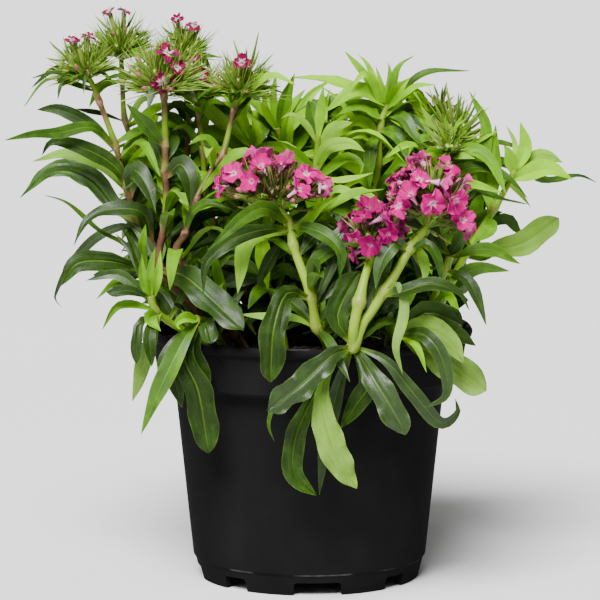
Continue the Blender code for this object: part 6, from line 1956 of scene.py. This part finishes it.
def leaf_material():
    f = Finish("leaf")
    lot, under, breadth = f.mark("lot"), f.mark("under"), f.mark("breadth")
    across = f.maths("ABSOLUTE", f.mark("across"))
    aged_and_shaded = f.plus(f.mark("age"), f.vary(f.noise(90.0), -0.14, 0.14), True)
    grain_place = f.joint(f.times(f.mark("across"), breadth), f.times(f.mark("along"), 7.0),
                          f.times(lot, 90.0))
    streaks, pebbles = f.noise(1.0, 4.0, grain_place), f.noise(1150.0, 1.5)
    wide_rib = f.span(breadth, 4.0, 7.5, 0.05, 0.085)
    rib = f.maths("SUBTRACT", 1.0, f.maths("DIVIDE", across, wide_rib), True)
    top = leaf_top(f, aged_and_shaded, across, streaks, pebbles, rib)
    ridges = f.maths("SINE", f.times(f.times(across, breadth), 5.2))
    relief = f.plus(f.times(ridges, 0.04), f.times(streaks, 0.4))
    relief = f.plus(relief, f.times(pebbles, 0.55))
    rough = f.plus(f.vary(f.noise(260.0, 2.0), 0.33, 0.50), f.times(under, 0.16))
    bloom = f.times(f.span(lot, 0.0, 0.7, 0.22, 0.0), f.span(aged_and_shaded, 0.3, 0.9))
    return f.set(Base_Color=f.mix(under, top, leaf_underside(f, top, streaks, rib)),
                 Roughness=rough, Normal=f.bump(relief, 0.55, 0.0004),
                 Subsurface_Weight=0.12, Subsurface_Scale=0.0012,
                 Subsurface_Radius=LEAF_SCATTER,
                 Specular_IOR_Level=f.plus(f.span(aged_and_shaded, 0.3, 0.95, 0.06, 0.10), bloom))


def stem_material():
    f = Finish("stem")
    blush = f.mark("blush")
    mottle = f.noise(120.0, 4.0)
    streaks = f.noise(1.0, 3.0, f.joint(f.times(f.mark("along"), 5.0), f.noise(500.0, 1.0)))
    # The pale mark lightens some stems; on the top whorl's stem this is partly painted light
    green = f.mix(f.mark("pale"), f.ramp(mottle, STEM_GREENS), f.ramp(streaks, STEM_PALES))
    brown = f.ramp(f.noise(160.0, 4.0), STEM_BROWNS)
    uneven = f.times(f.maths("SQRT", blush), f.vary(mottle, -0.3, 0.3))
    colour = f.mix(f.plus(blush, uneven, True), green, brown)
    pale = f.times(f.mark("knot"), f.span(f.noise(420.0), 0.45, 0.62, 0.0, 0.55))
    return f.set(Base_Color=f.mix(pale, colour, KNOT_PALE), Roughness=f.vary(mottle, 0.28, 0.46),
                 Normal=f.bump(f.noise(700.0), 0.15, 0.0003), Subsurface_Weight=0.1,
                 Subsurface_Scale=0.0015, Specular_IOR_Level=0.12)


def head_material():
    f = Finish("calyx")
    blush, lot = f.mark("blush"), f.mark("lot")
    grain = f.noise(500.0)
    green = f.ramp(f.plus(f.times(f.mark("along"), 0.5), f.times(lot, 0.5)), CALYX_GREENS)
    green = f.mix(f.span(blush, -1.0, 0.0, 0.75, 0.0), green, CALYX_PALE)
    share = f.plus(blush, f.vary(grain, -0.2, 0.2), True)
    return f.set(Base_Color=f.mix(share, green, f.ramp(lot, CALYX_BROWNS)),
                 Roughness=f.vary(grain, 0.42, 0.6), Normal=f.bump(grain, 0.2, 0.0002),
                 Subsurface_Weight=0.08, Subsurface_Scale=0.001, Specular_IOR_Level=0.12)


def bud_material():
    f = Finish("bud")
    grain = f.noise(600.0)
    shift = f.span(f.mark("lot"), 0, 1, -0.15, 0.15)
    return f.set(Base_Color=f.ramp(f.plus(f.mark("along"), shift), BUD_COLOURS),
                 Roughness=f.vary(grain, 0.45, 0.65), Normal=f.bump(grain, 0.2, 0.0002),
                 Subsurface_Weight=0.15, Subsurface_Scale=0.001)


def petal_material(tone):
    eye, ring, limb, vein, (ring_end, limb_start) = PETAL_COLOURS[tone]
    f = Finish("petal_" + tone)
    reach, lot = f.mark("reach"), f.mark("lot")
    rays = f.noise(1.0, 4.0, f.joint(f.times(f.mark("side"), 5.0), f.times(reach, 1.6),
                                     f.times(lot, 60.0)))
    stops = ((0.04, eye), (0.12, ring), (ring_end, ring), (limb_start, limb), (1.0, limb))
    colour = f.ramp(f.plus(reach, f.vary(rays, -0.10, 0.10)), stops)
    veins = f.times(f.span(rays, 0.45, 0.75, 0.0, 0.8), f.span(reach, 0.3, 0.6))
    for share in (veins, f.span(f.mark("tone"), 0.0, 1.0, 0.0, 0.55),
                  f.span(lot, 0.0, 1.0, 0.0, 0.4)):
        colour = f.mix(share, colour, vein)
    cloud = f.span(f.noise(220.0, 2.0), 0.5, 0.7, 0.0, 0.14)
    colour = f.mix(cloud, colour, f.mix(0.2, limb, ring))
    grain = f.noise(900.0, 2.0)
    return f.set(Base_Color=f.mix(f.mark("under"), colour, f.mix(0.11, colour, ring)),
                 Roughness=f.vary(grain, 0.48, 0.68),
                 Normal=f.bump(f.plus(rays, f.times(grain, 0.3)), 0.5, 0.0005),
                 Subsurface_Weight=0.15, Subsurface_Scale=0.001, Specular_IOR_Level=0.02)


def pot_material():
    f = Finish("pot_plastic")
    grain, cloud = f.noise(1800.0, 2.0), f.noise(16.0, 4.0)
    colour = f.ramp(cloud, POT_BLACKS)
    height = f.node("SeparateXYZ", {0: f.place()}).outputs[2]
    # Pale dashed lines along the shoulder and the lip's top edge: partly scuffed wear, partly a
    # painted highlight where light catches these edges
    scuff_and_highlight_patches = f.span(f.noise(55.0, 4.0), 0.50, 0.66)
    for edge in (SHOULDER[1] - 0.6, POT_HEIGHT - 0.4):
        gap = f.maths("ABSOLUTE", f.maths("SUBTRACT", height, edge * MM))
        scuff_and_highlight = f.times(f.span(gap, 0.0, 0.0007, 0.45, 0.0), scuff_and_highlight_patches)
        colour = f.mix(scuff_and_highlight, colour, POT_SCUFF_AND_HIGHLIGHT)
    dust = f.times(f.span(f.noise(60.0, 5.0), 0.55, 0.8), 0.08)
    return f.set(Base_Color=f.mix(dust, colour, POT_DUST),
                 Roughness=f.plus(f.vary(cloud, 0.66, 0.78), f.vary(grain, -0.04, 0.04)),
                 Normal=f.bump(grain, 0.4, 0.0003), Specular_IOR_Level=0.006)


def soil_material():
    f = Finish("peat")
    crumbs = f.noise(420.0, 5.0)
    fibres = f.span(f.noise(140.0, 4.0), 0.55, 0.75, 0.0, 0.5)
    return f.set(Base_Color=f.mix(fibres, f.ramp(crumbs, PEAT_BROWNS), PEAT_FIBRE),
                 Roughness=f.vary(crumbs, 0.85, 0.98), Normal=f.bump(crumbs, 0.8, 0.0012))


def floor_material():
    f = Finish("floor")
    return f.set(Base_Color=f.ramp(f.noise(3.0, 2.0), FLOOR_GREYS), Roughness=0.8)


def facing(way):
    """The turn of a camera or a light that looks along a direction."""
    return way.to_track_quat("-Z", "Y").to_euler()


def make_camera():
    """The camera at the front view's angle."""
    lens = bpy.data.cameras.new("camera")
    lens.sensor_width = SENSOR
    lens.lens = SENSOR * VIEW_DISTANCE / VIEW_WIDTH
    camera = stand("camera", lens)
    aim = Vector((VIEW_SIDE, 0.0, VIEW_HEIGHT)) * MM
    back = Vector((0.0, -math.cos(VIEW_ELEVATION), math.sin(VIEW_ELEVATION)))
    camera.location = aim + back * VIEW_DISTANCE * MM
    camera.rotation_euler = facing(-back)
    bpy.context.scene.camera = camera


def make_lights():
    """A soft lamp, a soft sun and an even sky."""
    lamp = bpy.data.lights.new("fill", "AREA")
    lamp.size = LAMP_SIZE
    lamp.energy = LAMP_POWER
    fill = stand("fill", lamp)
    fill.location = LAMP_PLACE
    fill.rotation_euler = facing(Vector(LAMP_AIM) - fill.location)
    sun = bpy.data.lights.new("key", "SUN")
    sun.energy = SUN_POWER
    sun.angle = SUN_ANGLE
    stand("key", sun).rotation_euler = facing(Vector(SUN_WAY))
    world = bpy.data.worlds.new("studio")
    world.use_nodes = True
    sky = world.node_tree.nodes["Background"]
    sky.inputs[0].default_value = (1.0, 1.0, 1.0, 1.0)
    sky.inputs[1].default_value = SKY_POWER
    bpy.context.scene.world = world


def make_floor():
    """A pale floor that fills the view."""
    floor = Shape()
    places = np.linspace(-FLOOR_REACH, FLOOR_REACH, FLOOR_COUNT)
    grid = np.array([(x, y, 0.0) for y in places for x in places])
    faces = [(k, k + 1, k + FLOOR_COUNT + 1, k + FLOOR_COUNT) for j in range(FLOOR_COUNT - 1)
             for k in range(j * FLOOR_COUNT, (j + 1) * FLOOR_COUNT - 1)]
    floor.add(grid, faces)
    floor.piece("floor", [floor_material()])


def dress(piece, node):
    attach(piece, "root")
    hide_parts(node)


def head_solids():
    """Plain stand-ins of the cores of the heads and of the hearts of their petals."""
    solids = []
    for head in HEADS.values():
        if head["heart"]:
            solids.append(core_points(*head["heart"]))
        middle, half = head["core"]
        solids.append(core_points(middle, [size * 1.5 for size in half]))
    return solids


def further_leaves(leaves, florets):
    """The leaves that fill the crowded middle and close the gaps between the given ones."""
    cores = head_solids()
    plates = [floret_plate(*spot[:3]) for spots in florets.values() for spot in spots]
    strips = blade_strips(leaves, STRIP_START)
    tubes = [stem_tube(stem) for stem in ALL_STEMS.values()]
    thicket = Thicket(cores + strips + tubes + plates)
    seen = joined([solid for solid in strips + cores + plates + tubes[:len(STEMS)]
                   if sum(v.y for v in solid[0]) / len(solid[0]) < SEEN_DEPTH])
    fillers = filler_leaves(thicket, seen, random.Random(FILLER_SEED))
    solids = cores + tubes + blade_strips(leaves + fillers, 0.0, GAP_STRIP)
    return fillers + gap_leaves(solids, thicket, seen, random.Random(GAP_SEED))


def make_stems(leaves, fillers, chance):
    """The leafy stems, each with its leaves as one piece."""
    green = [leaf_material(), stem_material()]
    for name, stem in ALL_STEMS.items():
        shape = Shape()
        for leaf in [leaf for owner, leaf in leaves if owner == name]:
            add_blade(shape, name, leaf, chance)
        for leaf in [leaf for owner, leaf in fillers if owner == name]:
            add_blade(shape, name, leaf, chance, FILLER_BLADE_STEP, FILLER_LOW_AGE_AND_SHADE)
        for leaf in skirt_leaves(name, chance):
            add_blade(shape, name, leaf, chance, FILLER_BLADE_STEP)
        add_stems(shape, name, stem)
        dress(shape.piece(name + "_fine", green), name)


def make_petals(name, head, spots, material, chance):
    """The open florets of a head as one piece."""
    shape = Shape()
    breadth, leaning = OPEN_PETALS if head["open"] else TIGHT_PETALS
    for spot, out, size, turn in spots:
        if out.y < 0 and not head["open"]:
            out = (out + (TO_VIEWER * 1.2 if out.z < 0.2 else UP * 0.3)).normalized()
        floret(shape, spot, lean(out, leaning, chance), size, turn, breadth, chance)
    dress(shape.piece(f"petals_{name}_fine", [material]), "petals_" + name)


def make_heads(florets, bracts, chance):
    """The green heads and their petals, each as one piece."""
    calyxes = [head_material(), bud_material()]
    petals = {tone: petal_material(tone) for tone in PETAL_COLOURS}
    for name, head in HEADS.items():
        shape = Shape()
        add_core(shape, head)
        share = FLORET_SHARES.get(name, 1.0)
        spots = [(spot, out, size * share, turn) for spot, out, size, turn in florets[name]]
        if head["open"]:
            spots += extra_florets(head, spots, chance)
            open_head(shape, name, head, spots, chance)
        else:
            bristle_head(shape, name, head, spots, chance)
        for root, way, length in bracts[name]:
            awl(shape, root, way, length, head["bracts"][3] * 0.9, UP * 0.12,
                OPEN_BLUSH if head["open"] else TIGHT_BLUSH, chance)
        dress(shape.piece(f"head_{name}_fine", calyxes), "head_" + name)
        if spots:
            make_petals(name, head, spots, petals[head["tone"]], chance)


def make_plant():
    placing = random.Random(PLACING_SEED)
    florets = {name: floret_spots(head, placing) for name, head in HEADS.items()}
    bracts = {name: bract_spots("head_" + name, head, placing) for name, head in HEADS.items()}
    leaves = seen_leaves() + ruled_leaves(placing)
    fillers = further_leaves(leaves, florets)
    chance = random.Random(SHAPE_SEED)
    make_stems(leaves, fillers, chance)
    make_heads(florets, bracts, chance)


make_camera()
make_lights()
make_floor()
make_pot()
make_soil()
make_plant()
